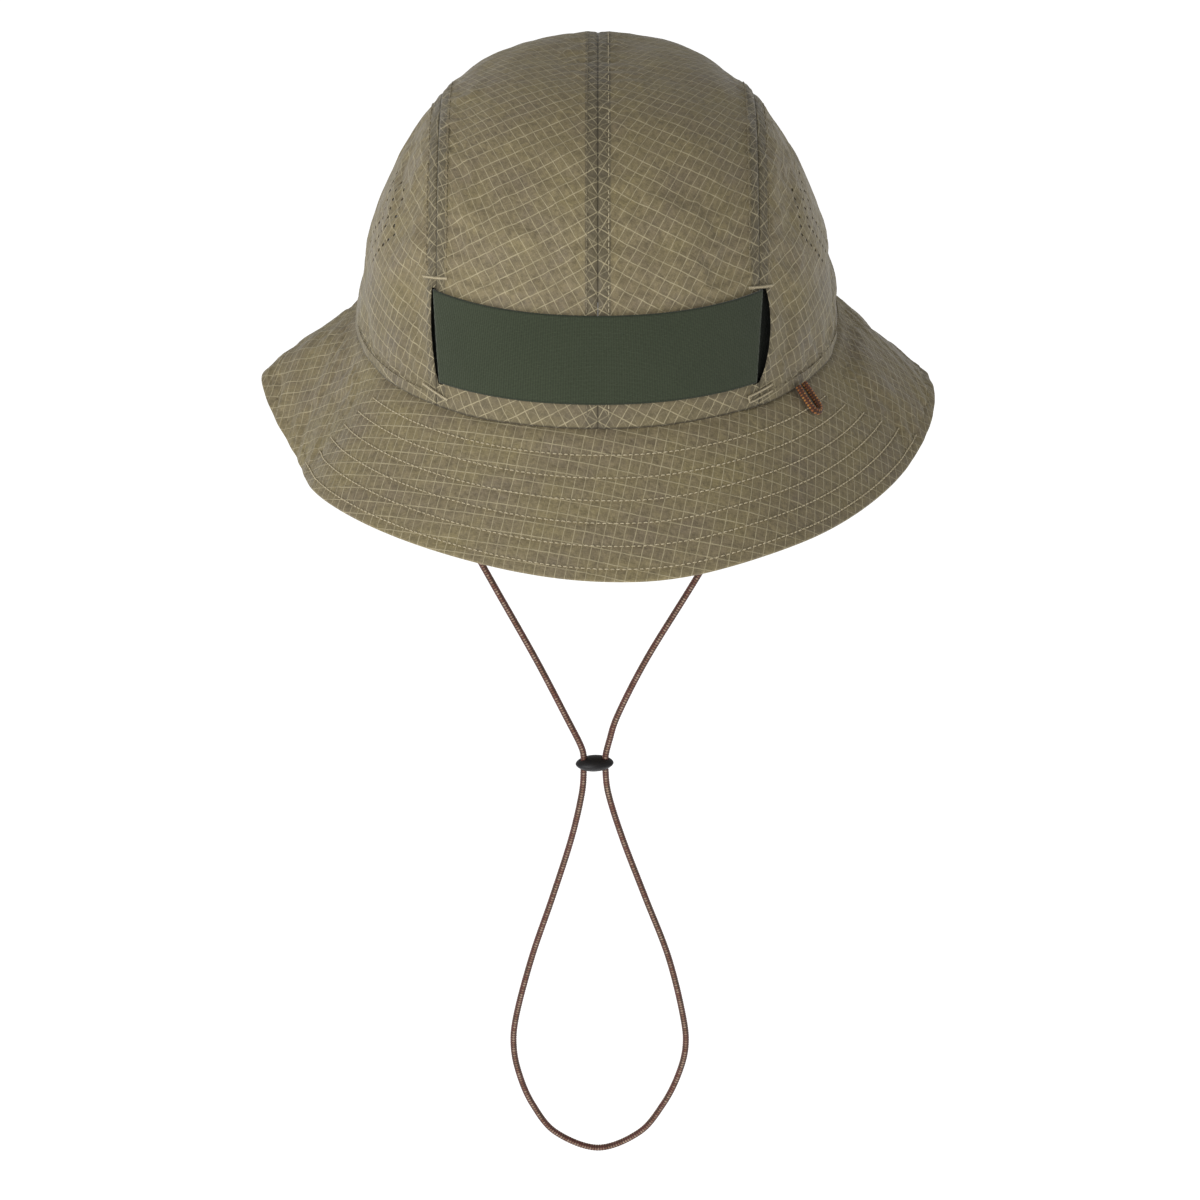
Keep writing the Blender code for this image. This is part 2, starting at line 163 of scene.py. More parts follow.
CROWN_HALF_WIDTH = 0.0885
CROWN_HALF_LENGTH = 0.1045
CROWN_HEIGHT = 0.101
OVAL_POWER = 2.15
WALL_POWER = 3.2
TOP_POWER = 1.42
GAP = 0.0003
CLOTH_THICKNESS = 0.0004
SIDE_SEAM = 0.057
SEAM_CONTACT = 0.00002
SEAM_ALLOWANCE = 0.0044
SEAM_GROOVE = 0.00028
HEM_HEIGHT = 0.005
LAYER_RISE = 0.00022
BAND_ZONE = (0.0075, 0.0405)
CENTRE_COLUMNS, CENTRE_ROWS = 58, 210
END_TURN = 0.003

# The weave: its turn from the seam in degrees, and how far apart the heavier threads lie.
BIAS = 30
ACROSS_THREADS = 0.0036
ALONG_THREADS = 0.0049

# Slack cloth: puckers along the seams, then swells, creases and crumples as (height, size).
PUCKER_HEIGHT = 0.00034
PUCKER_PITCH = 0.0085
SWELL = (0.0012, 0.032)
CREASE = (0.00042, 0.011)
CRUMPLE = (0.00020, 0.0055)

# Settling: the cloth's weight and stiffness, how much it grows and how far it may move.
SETTLE_FRAMES = 11
SETTLE_QUALITY = 5
CLOTH_MASS = 0.1
AIR_DRAG = 2.0
STRETCHING = 12
SHEARING = 4
BENDING = 0.03
CROWN_GROWTH = 0.026
CROWN_REACH = 0.0013
INWARD_REACH = 0.0003

OLIVE = colour(138, 126, 92)
GREY_OLIVE = colour(127, 115, 92)
SEAM_SHADE = colour(86, 80, 66)
GRID_THREAD = colour(184, 172, 139)
# Painted shade for the seam grooves and the crown's base.
SEAM_SHADOW_TONE = colour(54, 49, 39)


def signed_power(value, exponent):
    return np.sign(value) * np.abs(value) ** exponent


def unit(vectors):
    return vectors / np.linalg.norm(vectors, axis=-1, keepdims=True)


def turned(across, along, degrees):
    """Flat-pattern places turned to the grain of the cloth."""
    sine, cosine = math.sin(math.radians(degrees)), math.cos(math.radians(degrees))
    return across * cosine + along * sine, -across * sine + along * cosine


def wall_scale(z):
    """How much of its bottom oval the crown keeps at height z."""
    return (1 - np.clip(z / CROWN_HEIGHT, 0, 0.99999) ** TOP_POWER) ** (1 / WALL_POWER)


def oval(angle, inset=0.0):
    """Points of the head's oval at angles (degrees) from the front, and the level way out."""
    turn = np.radians(np.asarray(angle, float))
    half_width, half_length = CROWN_HALF_WIDTH - inset, CROWN_HALF_LENGTH - inset
    x = half_width * signed_power(np.sin(turn), 2 / OVAL_POWER)
    y = -half_length * signed_power(np.cos(turn), 2 / OVAL_POWER)
    out = np.stack([signed_power(x / half_width, OVAL_POWER - 1) / half_width,
                    signed_power(y / half_length, OVAL_POWER - 1) / half_length, np.zeros_like(x)], -1)
    return np.stack([x, y, np.zeros_like(x)], -1), unit(out)


def crown_normals(points):
    """The way straight out of the crown's dome at points on it."""
    x, y, z = points[..., 0], points[..., 1], points[..., 2]
    height = np.clip(z / CROWN_HEIGHT, 1e-5, 0.9995)
    lean = TOP_POWER * height ** (TOP_POWER - 1) / (WALL_POWER * CROWN_HEIGHT)
    lean = lean * (1 - height ** TOP_POWER) ** (OVAL_POWER / WALL_POWER - 1)
    return unit(np.stack([signed_power(x / CROWN_HALF_WIDTH, OVAL_POWER - 1) / CROWN_HALF_WIDTH,
                          signed_power(y / CROWN_HALF_LENGTH, OVAL_POWER - 1) / CROWN_HALF_LENGTH,
                          lean], -1))


def off_crown(points, out):
    """Points moved straight out of the crown's dome by a distance each."""
    return points + crown_normals(points) * np.asarray(out, float)[..., None]


def crown_points(angle, z, out=0.0):
    """Points of the crown's wall at angles and heights, moved out along the normal."""
    angle, z = np.broadcast_arrays(np.asarray(angle, float), np.asarray(z, float))
    points = oval(angle)[0] * wall_scale(z)[..., None]
    points[..., 2] = z
    return off_crown(points, out)


def over_the_top(x, turn):
    """Points of the dome in the upright planes at x; turn is 0 at the front base and pi behind."""
    x, turn = np.broadcast_arrays(x, turn)
    near, far = np.zeros(x.shape), np.full(x.shape, 0.13)
    for _ in range(44):
        middle = (near + far) / 2
        y, z = -middle * np.cos(turn), middle * np.sin(turn)
        reach = np.abs(x / CROWN_HALF_WIDTH) ** OVAL_POWER + np.abs(y / CROWN_HALF_LENGTH) ** OVAL_POWER
        inside = (reach < wall_scale(z) ** OVAL_POWER) & (z < CROWN_HEIGHT)
        near, far = np.where(inside, middle, near), np.where(inside, far, middle)
    return np.stack([x, -near * np.cos(turn), near * np.sin(turn)], -1)


def graded(count, closeness=0.8):
    """Numbers from 0 to 1 that lie closer together at both ends."""
    even = np.linspace(0, 1, count)
    return even - closeness * np.sin(2 * math.pi * even) / (2 * math.pi)


def running_length(grid, axis):
    """The distance walked along one direction of a grid of points."""
    steps = np.linalg.norm(np.diff(grid, axis=axis), axis=-1)
    start = np.zeros_like(np.take(steps, [0], axis=axis))
    return np.cumsum(np.concatenate([start, steps], axis=axis), axis=axis)


def soft_noise(points, size, seed):
    """A smooth random value from -1 to 1 that changes over the given size."""
    flat = np.asarray(points, float).reshape(-1, 3) / size + seed * 17.3
    return np.array([noise.noise(Vector(point)) for point in flat]).reshape(np.shape(points)[:-1])


def smooth_step(value, low, high):
    share = np.clip((value - low) / (high - low), 0, 1)
    return share * share * (3 - 2 * share)


def grid_faces(rows, columns):
    """The quads between a grid's neighbouring points."""
    index = np.arange(rows * columns).reshape(rows, columns)
    quads = np.stack([index[:-1, :-1], index[:-1, 1:], index[1:, 1:], index[1:, :-1]], -1)
    return quads.reshape(-1, 4).tolist()


def make_piece(name, points, material, maps=None, faces=None, merge=0.0, freedom=None):
    """A smooth mesh object from a grid of points, or points and faces, with its flat-pattern maps."""
    mesh = bpy.data.meshes.new(name)
    faces = faces or grid_faces(*points.shape[:2])
    mesh.from_pydata(np.asarray(points, float).reshape(-1, 3).tolist(), [], faces)
    corner_points = np.empty(len(mesh.loops), int)
    mesh.loops.foreach_get("vertex_index", corner_points)
    for map_name, pair in (maps or {}).items():
        places = np.stack(np.broadcast_arrays(*pair), -1).reshape(-1, 2)
        layer = mesh.uv_layers.new(name=map_name)
        layer.data.foreach_set("uv", places[corner_points].astype(np.float32).ravel())
    if freedom is not None:
        shares = mesh.attributes.new("freedom", "FLOAT", "POINT")
        shares.data.foreach_set("value", np.ravel(freedom).astype(np.float32))
    if merge:
        bm = bmesh.new()
        bm.from_mesh(mesh)
        bmesh.ops.remove_doubles(bm, verts=bm.verts, dist=merge)
        bmesh.ops.dissolve_degenerate(bm, edges=bm.edges, dist=merge / 2)
        bm.to_mesh(mesh)
        bm.free()
    mesh.materials.append(material)
    mesh.shade_smooth()
    return new_object(name, mesh)


def keep_result(piece):
    """Makes the modifiers' result the piece's own mesh."""
    evaluated = piece.evaluated_get(bpy.context.evaluated_depsgraph_get())
    mesh = bpy.data.meshes.new_from_object(evaluated)
    piece.modifiers.clear()
    piece.data = mesh
    mesh.name = piece.name


def read_values(items, key, size=1):
    """One property of all points of a mesh."""
    values = np.empty(len(items) * size, np.float32)
    items.foreach_get(key, values)
    return values if size == 1 else values.reshape(-1, size)


def let_settle(piece, growth, reach):
    """Lets slack cloth buckle between its sewn lines: a short cloth simulation without gravity,
    in which the cloth grows a little and no point moves further than reach."""
    mesh = piece.data
    freedom = read_values(mesh.attributes["freedom"].data, "value")
    mesh.attributes.remove(mesh.attributes["freedom"])
    start = read_values(mesh.vertices, "co", 3)
    sewn = piece.vertex_groups.new(name="sewn")
    for index, share in enumerate(freedom):
        if share < 0.999:
            sewn.add([index], float(1 - share), "REPLACE")
    cloth = piece.modifiers.new("cloth", "CLOTH")
    settings = cloth.settings
    settings.quality = SETTLE_QUALITY
    settings.mass = CLOTH_MASS
    settings.air_damping = AIR_DRAG
    settings.tension_stiffness = settings.compression_stiffness = STRETCHING
    settings.shear_stiffness = SHEARING
    settings.bending_stiffness = BENDING
    settings.vertex_group_mass = "sewn"
    settings.shrink_min = -growth
    settings.effector_weights.gravity = 0
    cloth.collision_settings.use_collision = False
    scene = bpy.context.scene
    cloth.point_cache.frame_start, cloth.point_cache.frame_end = 1, SETTLE_FRAMES
    for number in range(1, SETTLE_FRAMES + 1):
        scene.frame_set(number)
    settled = piece.evaluated_get(bpy.context.evaluated_depsgraph_get()).data
    end = read_values(settled.vertices, "co", 3)
    piece.modifiers.remove(cloth)
    piece.vertex_groups.remove(sewn)
    scene.frame_set(1)
    moved = (end - start) * np.clip(freedom * 3, 0, 1)[:, None]
    size = np.linalg.norm(moved, axis=1, keepdims=True)
    moved *= reach * np.tanh(size / reach) / np.maximum(size, 1e-9)
    normals = read_values(mesh.vertex_normals, "vector", 3)
    outward = (moved * normals).sum(1, keepdims=True)
    moved += normals * (np.maximum(outward, -INWARD_REACH) - outward)
    mesh.vertices.foreach_set("co", (start + moved).ravel())
    mesh.update()


def finish_cloth(piece, way, thickness, offset=-1.0, settle=None):
    """Turns a sheet to face the way given for each face, lets it settle and thickens it."""
    polygons = piece.data.polygons
    if way and sum(face.normal.dot(way(face.center)) < 0 for face in polygons) > len(polygons) / 2:
        piece.data.flip_normals()
    if settle:
        let_settle(piece, *settle)
    modifier = piece.modifiers.new("cloth_thickness", "SOLIDIFY")
    modifier.thickness = thickness
    modifier.offset = offset
    modifier.use_even_offset = True
    keep_result(piece)


def place(piece, body, slot, *nodes):
    """A piece rides on a body and stands for CAD nodes; its slot is not used."""
    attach(piece, body)
    if nodes:
        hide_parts(*nodes)


def calc(tree, operation, *values):
    return add_shade(tree, "Math", *values, operation=operation)


def ramp(tree, value, low, high, at_low, at_high, **settings):
    return add_shade(tree, "MapRange", value, low, high, at_low, at_high, **settings)


def flat_map(tree, name):
    return add_shade(tree, "UVMap", uv_map=name)


def split(tree, vector):
    return add_shade(tree, "SeparateXYZ", vector).node.outputs


def glaze(tree, tone, mask, strength, second):
    """A second colour laid over a tone where the mask is, at part strength."""
    return mix_colours(tree, calc(tree, "MULTIPLY", mask, strength), tone, second)


def from_middle(tree, value):
    """How far a value lies from the middle between its two whole neighbours."""
    centred = calc(tree, "SUBTRACT", calc(tree, "FRACT", value), 0.5)
    return calc(tree, "ABSOLUTE", centred)


def thread_lines(tree, coordinate, pitch, half_width, soft):
    """1 on the heavier threads that come once every pitch, 0 between them."""
    away = from_middle(tree, calc(tree, "MULTIPLY", coordinate, 1 / pitch))
    return ramp(tree, away, half_width / pitch, (half_width + soft) / pitch, 1.0, 0.0,
                interpolation_type="SMOOTHSTEP")


def weave_grid(tree, vector):
    """The ripstop grid of heavier threads both ways, slightly wandering as woven."""
    wander = noise_shade(tree, vector, 260.0, 1.0)
    wander = calc(tree, "MULTIPLY_ADD", wander, 0.00030, -0.00015)
    parts = split(tree, vector)
    across = calc(tree, "ADD", parts[0], wander)
    along = calc(tree, "ADD", parts[1], wander)
    upright = thread_lines(tree, across, ACROSS_THREADS, 0.00006, 0.00020)
    level = thread_lines(tree, along, ALONG_THREADS, 0.00008, 0.00022)
    return calc(tree, "MAXIMUM", upright, level)


def ripstop_material():
    """Thin coated nylon: plain weave, heavier grid threads, crinkles, darker doubled seams, painted seam
    shade.
    """
    material, tree, shader = new_material("ripstop_nylon", Specular_IOR_Level=0.28, Sheen_Weight=0.12,
                                          Sheen_Roughness=0.45)
    weave = flat_map(tree, "weave")
    seams = flat_map(tree, "seam")
    grid = weave_grid(tree, weave)
    blotch = noise_shade(tree, weave, 42.0, 6.0, 0.68)
    blotch = ramp(tree, blotch, 0.36, 0.64, 0.0, 1.0)
    crossing = add_shade(tree, "Mapping", weave, None, (0, 0, math.radians(2)), (2600, 420, 1))
    slub = noise_shade(tree, crossing, 1.0, 1.0)
    crossing = add_shade(tree, "Mapping", weave, None, (0, 0, 0), (420, 2600, 1))
    weft = noise_shade(tree, crossing, 1.0, 1.0)
    threads = calc(tree, "ADD", slub, weft)
    cloth = mix_colours(tree, blotch, GREY_OLIVE, OLIVE)
    shade = ramp(tree, threads, 0.7, 1.3, 0.86, 1.14)
    cloth = mix_colours(tree, 1.0, cloth, shade, "MULTIPLY")
    crumple = noise_shade(tree, weave, 380.0, 5.0, 0.75)
    crumple = ramp(tree, crumple, 0.35, 0.65, 0.76, 1.21)
    cloth = mix_colours(tree, 1.0, cloth, crumple, "MULTIPLY")

    parts = split(tree, seams)
    strip = ramp(tree, parts[0], SEAM_ALLOWANCE - 0.0002, SEAM_ALLOWANCE + 0.0003, 1.0, 0.0)
    hem = ramp(tree, parts[1], HEM_HEIGHT - 0.0001, HEM_HEIGHT + 0.0003, 0.55, 0.0)
    doubled = calc(tree, "MAXIMUM", strip, hem)
    other_grain = add_shade(tree, "Mapping", weave, None, (0, 0, math.radians(2 * BIAS)), (1, 1, 1))
    ghost = weave_grid(tree, other_grain)
    ghost = calc(tree, "MULTIPLY", ghost, doubled)
    share = calc(tree, "MULTIPLY", doubled, 0.62)
    backed = ramp(tree, parts[1], 0.027, 0.034, 0.27, 0.0)
    share = calc(tree, "MAXIMUM", share, backed)
    cloth = mix_colours(tree, share, cloth, SEAM_SHADE)
    cloth = glaze(tree, cloth, ghost, 0.30, GRID_THREAD)
    fade = noise_shade(tree, weave, 120.0, 2.0)
    fade = ramp(tree, fade, 0.35, 0.65, 0.55, 0.98)
    cloth = glaze(tree, cloth, grid, fade, GRID_THREAD)
    # Painted shade: a thin dark line along every seam's groove and where the crown meets the brim.
    seam_shadow_line = ramp(tree, parts[0], 0.0001, 0.00045, 0.45, 0.0)
    junction_shadow_line = ramp(tree, parts[1], 0.0003, 0.0009, 0.7, 0.0)
    seam_shadow_line = calc(tree, "MAXIMUM", seam_shadow_line, junction_shadow_line)
    cloth = mix_colours(tree, seam_shadow_line, cloth, SEAM_SHADOW_TONE)

    gloss = ramp(tree, blotch, 0.0, 1.0, 0.50, 0.66)
    tree.links.new(gloss, shader.inputs["Roughness"])
    crinkle = noise_shade(tree, weave, 190.0, 3.0, 0.6)
    creases = add_shade(tree, "TexVoronoi", feature="DISTANCE_TO_EDGE",
                        sockets={"Vector": weave, "Scale": 210.0, "Randomness": 1.0})
    creases = ramp(tree, creases, 0.0, 0.16, 0.0, 0.16)
    relief = calc(tree, "ADD", crinkle, creases)
    relief = calc(tree, "MULTIPLY_ADD", grid, 0.20, relief)
    relief = calc(tree, "MULTIPLY_ADD", threads, 0.10, relief)
    dress(tree, shader, cloth, relief, 0.75, 0.0008)
    return material


def band_hold(points):
    """1 where the elastic band lies on the centre panels, 0 elsewhere."""
    held = smooth_step(points[..., 2], BAND_ZONE[0] - 0.002, BAND_ZONE[0])
    held *= 1 - smooth_step(points[..., 2], BAND_ZONE[1], BAND_ZONE[1] + 0.004)
    return held * (points[..., 1] < 0) * (np.abs(points[..., 0]) < SIDE_SEAM)


def crown_freedom(points, seam_away, hem_away):
    """How far each place of a panel is free to buckle: not at all along the sewn strips."""
    free = smooth_step(seam_away, 0.0006, SEAM_ALLOWANCE + 0.004) * smooth_step(hem_away, 0.0006, 0.009)
    return free * (1 - band_hold(points))


def crown_relief(points, seam_away, hem_away, along, seed):
    """How far sewn cloth stands off the smooth dome: groove, doubled strips, puckers, creases."""
    relief = LAYER_RISE * (1 - smooth_step(seam_away, SEAM_ALLOWANCE - 0.0003, SEAM_ALLOWANCE + 0.0003))
    hem = LAYER_RISE * (1 - smooth_step(hem_away, HEM_HEIGHT - 0.0003, HEM_HEIGHT + 0.0003))
    relief = np.maximum(relief, hem) - SEAM_GROOVE * np.exp(-(seam_away / 0.0006) ** 2)
    wander = soft_noise(points, 0.012, seed)
    pucker = np.sin(along * 2 * math.pi / PUCKER_PITCH + 2.6 * wander) * np.exp(-seam_away / 0.006)
    loose = PUCKER_HEIGHT * pucker * smooth_step(hem_away, 0.002, 0.010)
    loose += SWELL[0] * soft_noise(points, SWELL[1], seed + 1) * smooth_step(seam_away, 0.001, 0.012)
    creases = CREASE[0] * soft_noise(points, CREASE[1], seed + 2)
    loose += creases + CRUMPLE[0] * soft_noise(points, CRUMPLE[1], seed + 4)
    loose *= smooth_step(seam_away, 0, 0.0016)
    held = band_hold(points)
    return relief + loose * (1 - held) - 0.0001 * held


ripstop = ripstop_material()


def centre_panel(side, word):
    """One centre panel from the front hem over the top to the back hem."""
    x = side * (SEAM_CONTACT + (SIDE_SEAM - SEAM_CONTACT) * graded(CENTRE_COLUMNS))
    turn = END_TURN + (math.pi - 2 * END_TURN) * graded(CENTRE_ROWS, 0.55)
    dome = over_the_top(x[:, None], turn[None, :])
    across, along = running_length(dome, 0), running_length(dome, 1)
    seam_away = np.minimum(across, across[-1] - across)
    hem_away = np.minimum(along, along[:, -1:] - along)
    relief = crown_relief(dome, seam_away, hem_away, along, 3 + side)
    maps = {"weave": turned(-across, along, BIAS), "seam": (seam_away, hem_away)}
    piece = make_piece(f"ripstop_centre_{word}", off_crown(dome, relief), ripstop, maps,
                       freedom=crown_freedom(dome, seam_away, hem_away))
    finish_cloth(piece, lambda centre: centre, CLOTH_THICKNESS, settle=(CROWN_GROWTH, CROWN_REACH))
    place(piece, "hat", "ripstop", f"crown_centre_{word}")
    return piece


centre_panels = {word: centre_panel(side, word) for side, word in ((-1, "left"), (1, "right"))}


# Crown side panels: one panel of the same ripstop on each side, with laser-cut vent holes, and cut
# back from the seam in front so that the elastic can pass in behind it. The cut edge is turned in.

SIDE_ROWS, SIDE_COLUMNS = 60, 190
SIDE_TURN = 10
SLIT_BOTTOM = 0.0085
SLIT_TOP = 0.0397
SLIT_FRONT = 0.0557
SLIT_SLANT = 0.0022
SLIT_WIDTH = {"left": 0.0016, "right": 0.0038}
EDGE_LIFT = {"left": 0.0008, "right": 0.0015}
EDGE_SOFTNESS = 0.0026
EDGE_WAVE = 0.0125
MIDDLE_RADIUS = 0.0965
VENT_DEPTH = 0.003
VENT_RADIUS = 0.0006
VENT_HEIGHT = 0.047
VENT_FRONT_ANGLE = 68
VENT_PITCH = 0.0026
VENT_ARM_HOLES = 5
VENT_ROWS = 3
VENT_ROW_ANGLE = 5.5
VENT_STEP_ANGLE = 1.3


def base_arc(angle):
    """The distance round the oval from the front to angles in degrees."""
    turns = np.linspace(-200, 200, 1601)
    lengths = running_length(oval(turns)[0][None], 1)[0]
    lengths -= np.interp(0, turns, lengths)
    return np.interp(angle, turns, lengths)


def wall_length(z):
    """The distance up the crown's wall from its base to a height."""
    heights = np.linspace(0, CROWN_HEIGHT, 400)
    profile = np.stack([MIDDLE_RADIUS * wall_scale(heights), heights], -1)
    return np.interp(z, heights, running_length(profile[None], 1)[0])


def solid_from(bm, name):
    """An object with a bmesh's shape; the bmesh is used up."""
    mesh = bpy.data.meshes.new(name)
    bm.to_mesh(mesh)
    bm.free()
    return new_object(name, mesh)


def cut_away(piece, cutter):
    """Takes a cutter's shape out of a piece and removes the cutter."""
    modifier = piece.modifiers.new("cut", "BOOLEAN")
    modifier.operation = "DIFFERENCE"
    modifier.solver = "EXACT"
    modifier.object = cutter
    keep_result(piece)
    bpy.data.objects.remove(cutter)


def vent_cutter(side):
    """All vent holes of one side panel, as round pins through the cloth."""
    bm = bmesh.new()
    for row in range(VENT_ROWS):
        for step in range(-VENT_ARM_HOLES, VENT_ARM_HOLES + 1):
            angle = side * (VENT_FRONT_ANGLE + row * VENT_ROW_ANGLE + abs(step) * VENT_STEP_ANGLE)
            height = VENT_HEIGHT + step * VENT_PITCH
            ends = [Vector(crown_points(angle, height, out)) for out in (-VENT_DEPTH, VENT_DEPTH)]
            turn = (ends[1] - ends[0]).to_track_quat("Z", "Y").to_matrix().to_4x4()
            bmesh.ops.create_cone(bm, cap_ends=True, segments=14, radius1=VENT_RADIUS,
                                  radius2=VENT_RADIUS, depth=2 * VENT_DEPTH,
                                  matrix=Matrix.Translation((ends[0] + ends[1]) / 2) @ turn)
    return solid_from(bm, "vent_cutter")


def slit_edges(word, z):
    """How far from the middle the two edges of a slit lie at a height."""
    share = np.clip((z - SLIT_BOTTOM) / (SLIT_TOP - SLIT_BOTTOM), 0, 1)
    slant = SLIT_SLANT * (share - 0.5)
    opening = SLIT_WIDTH[word] * (0.25 + 0.75 * np.sin(math.pi * share) ** 0.8)
    return SLIT_FRONT + slant, SIDE_SEAM + slant + opening


def slit_cutter(side, word):
    """A slanting, slightly lens-shaped block along one slit."""
    bm = bmesh.new()
    verts = []
    for z in np.linspace(SLIT_BOTTOM, SLIT_TOP, 13):
        near, far = (side * edge for edge in slit_edges(word, z))
        ring = [(near, -0.11, z), (far, -0.11, z), (far, -0.04, z), (near, -0.04, z)]
        verts.append([bm.verts.new(point) for point in ring])
    for lower, upper in zip(verts, verts[1:]):
        for i in range(4):
            bm.faces.new((lower[i], lower[(i + 1) % 4], upper[(i + 1) % 4], upper[i]))
    bm.faces.new(verts[0][::-1])
    bm.faces.new(verts[-1])
    bmesh.ops.recalc_face_normals(bm, faces=bm.faces)
    return solid_from(bm, "slit_cutter")


def side_panel(side, word):
    """One side panel: arches at growing distances from the middle, down to the hem."""
    share = np.linspace(0, 1, SIDE_ROWS) ** 1.15
    seam_x, widest = SIDE_SEAM - SEAM_CONTACT, CROWN_HALF_WIDTH * 0.99995
    x = widest - (widest - seam_x) * (1 - share) ** 2
    turn = END_TURN + (math.pi - 2 * END_TURN) * graded(SIDE_COLUMNS, 0.5)
    dome = over_the_top(side * x[:, None], turn[None, :])
    height = dome[..., 2]
    seam_away, hem_away = running_length(dome, 0), wall_length(height)
    round_angle = np.degrees(np.arctan2(
        np.abs(dome[..., 0] / CROWN_HALF_WIDTH) ** (OVAL_POWER / 2),
        signed_power(-dome[..., 1] / CROWN_HALF_LENGTH, OVAL_POWER / 2)))
    around = (base_arc(round_angle) - base_arc(90)) * (0.5 + 0.5 * wall_scale(height))
    relief = crown_relief(dome, seam_away, hem_away, base_arc(round_angle) + hem_away, 11 + side)
    cut_edge = (height > SLIT_BOTTOM - 0.004) & (height < SLIT_TOP + 0.004) & (dome[..., 1] < 0)
    beside = np.abs(dome[..., 0]) - slit_edges(word, height)[1]
    middle = np.clip((height - SLIT_BOTTOM) / (SLIT_TOP - SLIT_BOTTOM), 0, 1)
    waves = 1 + 0.15 * np.sin(height * 2 * math.pi / EDGE_WAVE + 0.8)
    lift = EDGE_LIFT[word] * np.exp(-(np.clip(beside, 0, None) / EDGE_SOFTNESS) ** 2)
    lift = lift * np.sin(math.pi * middle) ** 0.5 * waves
    points = off_crown(dome, relief + np.where(cut_edge, lift, 0))
    maps = {"weave": turned(around, hem_away, SIDE_TURN), "seam": (seam_away, hem_away)}
    free = crown_freedom(dome, seam_away, hem_away)
    free = free * np.where(cut_edge, smooth_step(beside, 0.001, 0.008), 1)
    piece = make_piece(f"ripstop_side_{word}", points, ripstop, maps, merge=2e-5, freedom=free)
    finish_cloth(piece, lambda centre: centre, CLOTH_THICKNESS, settle=(CROWN_GROWTH, CROWN_REACH))
    for cloth in (piece, centre_panels[word]):
        cut_away(cloth, slit_cutter(side, word))
    cut_away(piece, vent_cutter(side))
    place(piece, "hat", "ripstop", f"crown_side_{word}")


for side, word in ((-1, "left"), (1, "right")):
    side_panel(side, word)


# Topstitching: spun polyester thread in even lockstitches, along both edges of every doubled seam
# strip, along the crown's hem and over the turned edges beside the elastic.

STITCH_PITCH = 0.0021
STITCH_LENGTH = 0.00165
STITCH_RADIUS = 0.00019
STITCH_SIDES = 6
STITCH_SHARES = np.array([0, 0.16, 0.5, 0.84, 1])
STITCH_ARCH = np.array([-0.9, 0.55, 1.0, 0.55, -0.9])
STITCH_SWELL = np.array([0.6, 0.95, 1, 0.95, 0.6])
SEAM_SAMPLES = 240
THREAD_BEIGE = colour(206, 194, 164)
THREAD_DARK = colour(146, 134, 106)


def thread_material(name, light, dark):
    """Twisted sewing thread: fine slanting plies, light on the crowns of the twist."""
    material, tree, shader = new_material(name, Roughness=0.55, Sheen_Weight=0.15)
    place_on = add_shade(tree, "TexCoord", output=3)
    twist = add_shade(tree, "Mapping", place_on, None, (0.4, 0.7, 0.3), (3600, 3600, 3600))
    plies = noise_shade(tree, twist, 1.0, 1.0)
    share = ramp(tree, plies, 0.38, 0.62, 0.0, 1.0)
    dress(tree, shader, mix_colours(tree, share, dark, light), plies, 0.4, 0.0001)
    return material


def rings_round(centres, up, turn):
    """The ways out from every point of a line to the places of a ring round it."""
    ahead = unit(np.gradient(centres, axis=0))
    beside = unit(np.cross(ahead, np.asarray(up, float)))
    above = np.cross(beside, ahead)
    return beside[:, None] * np.cos(turn)[:, None] + above[:, None] * np.sin(turn)[:, None]


def tube_points(centres, radii, sides, up):
    """Rings of points round a line, and its faces with both ends closed."""
    ring = rings_round(centres, up, np.arange(sides) * 2 * math.pi / sides)
    points = (centres[:, None] + ring * radii[:, None, None]).reshape(-1, 3)
    index = np.arange(len(centres) * sides).reshape(len(centres), sides)
    after = np.roll(index, -1, 1)
    faces = np.stack([index[:-1], after[:-1], after[1:], index[1:]], -1).reshape(-1, 4).tolist()
    return points, faces + [index[0][::-1].tolist(), index[-1].tolist()]


def join_tubes(name, tubes, thread):
    """One piece made of many separate tubes."""
    points, faces, total = [], [], 0
    for tube, quads in tubes:
        points.append(tube)
        faces += [[corner + total for corner in face] for face in quads]
        total += len(tube)
    return make_piece(name, np.concatenate(points), thread, faces=faces)


def stitches(name, lines, thread, pitch=STITCH_PITCH, length=STITCH_LENGTH, radius=STITCH_RADIUS,
             lift=0.0001):
    """Single stitches laid along lines; a line is (points, normals), closely sampled."""
    tubes = []
    for path, normals in lines:
        reach = running_length(path[None], 1)[0]
        for start in np.arange(0.0002, reach[-1] - length, pitch):
            spots = start + length * STITCH_SHARES
            centre, normal = (np.stack([np.interp(spots, reach, values[:, axis]) for axis in range(3)], -1)
                              for values in (path, normals))
            normal = unit(normal)
            height = STITCH_ARCH * radius + lift
            tubes.append(tube_points(centre + normal * height[:, None], radius * STITCH_SWELL,
                                     STITCH_SIDES, normal))
    return join_tubes(name, tubes, thread)


def seam_line(side_x, away, low_turn=0.05, high_turn=math.pi - 0.05):
    """A line over the crown at a distance beside a seam plane."""
    turn = np.linspace(low_turn, high_turn, SEAM_SAMPLES)
    path = over_the_top(np.full(SEAM_SAMPLES, side_x + away), turn)
    return path, crown_normals(path)


def wall_line(angles, height):
    path = crown_points(angles, np.full(len(angles), height))
    return path, crown_normals(path)


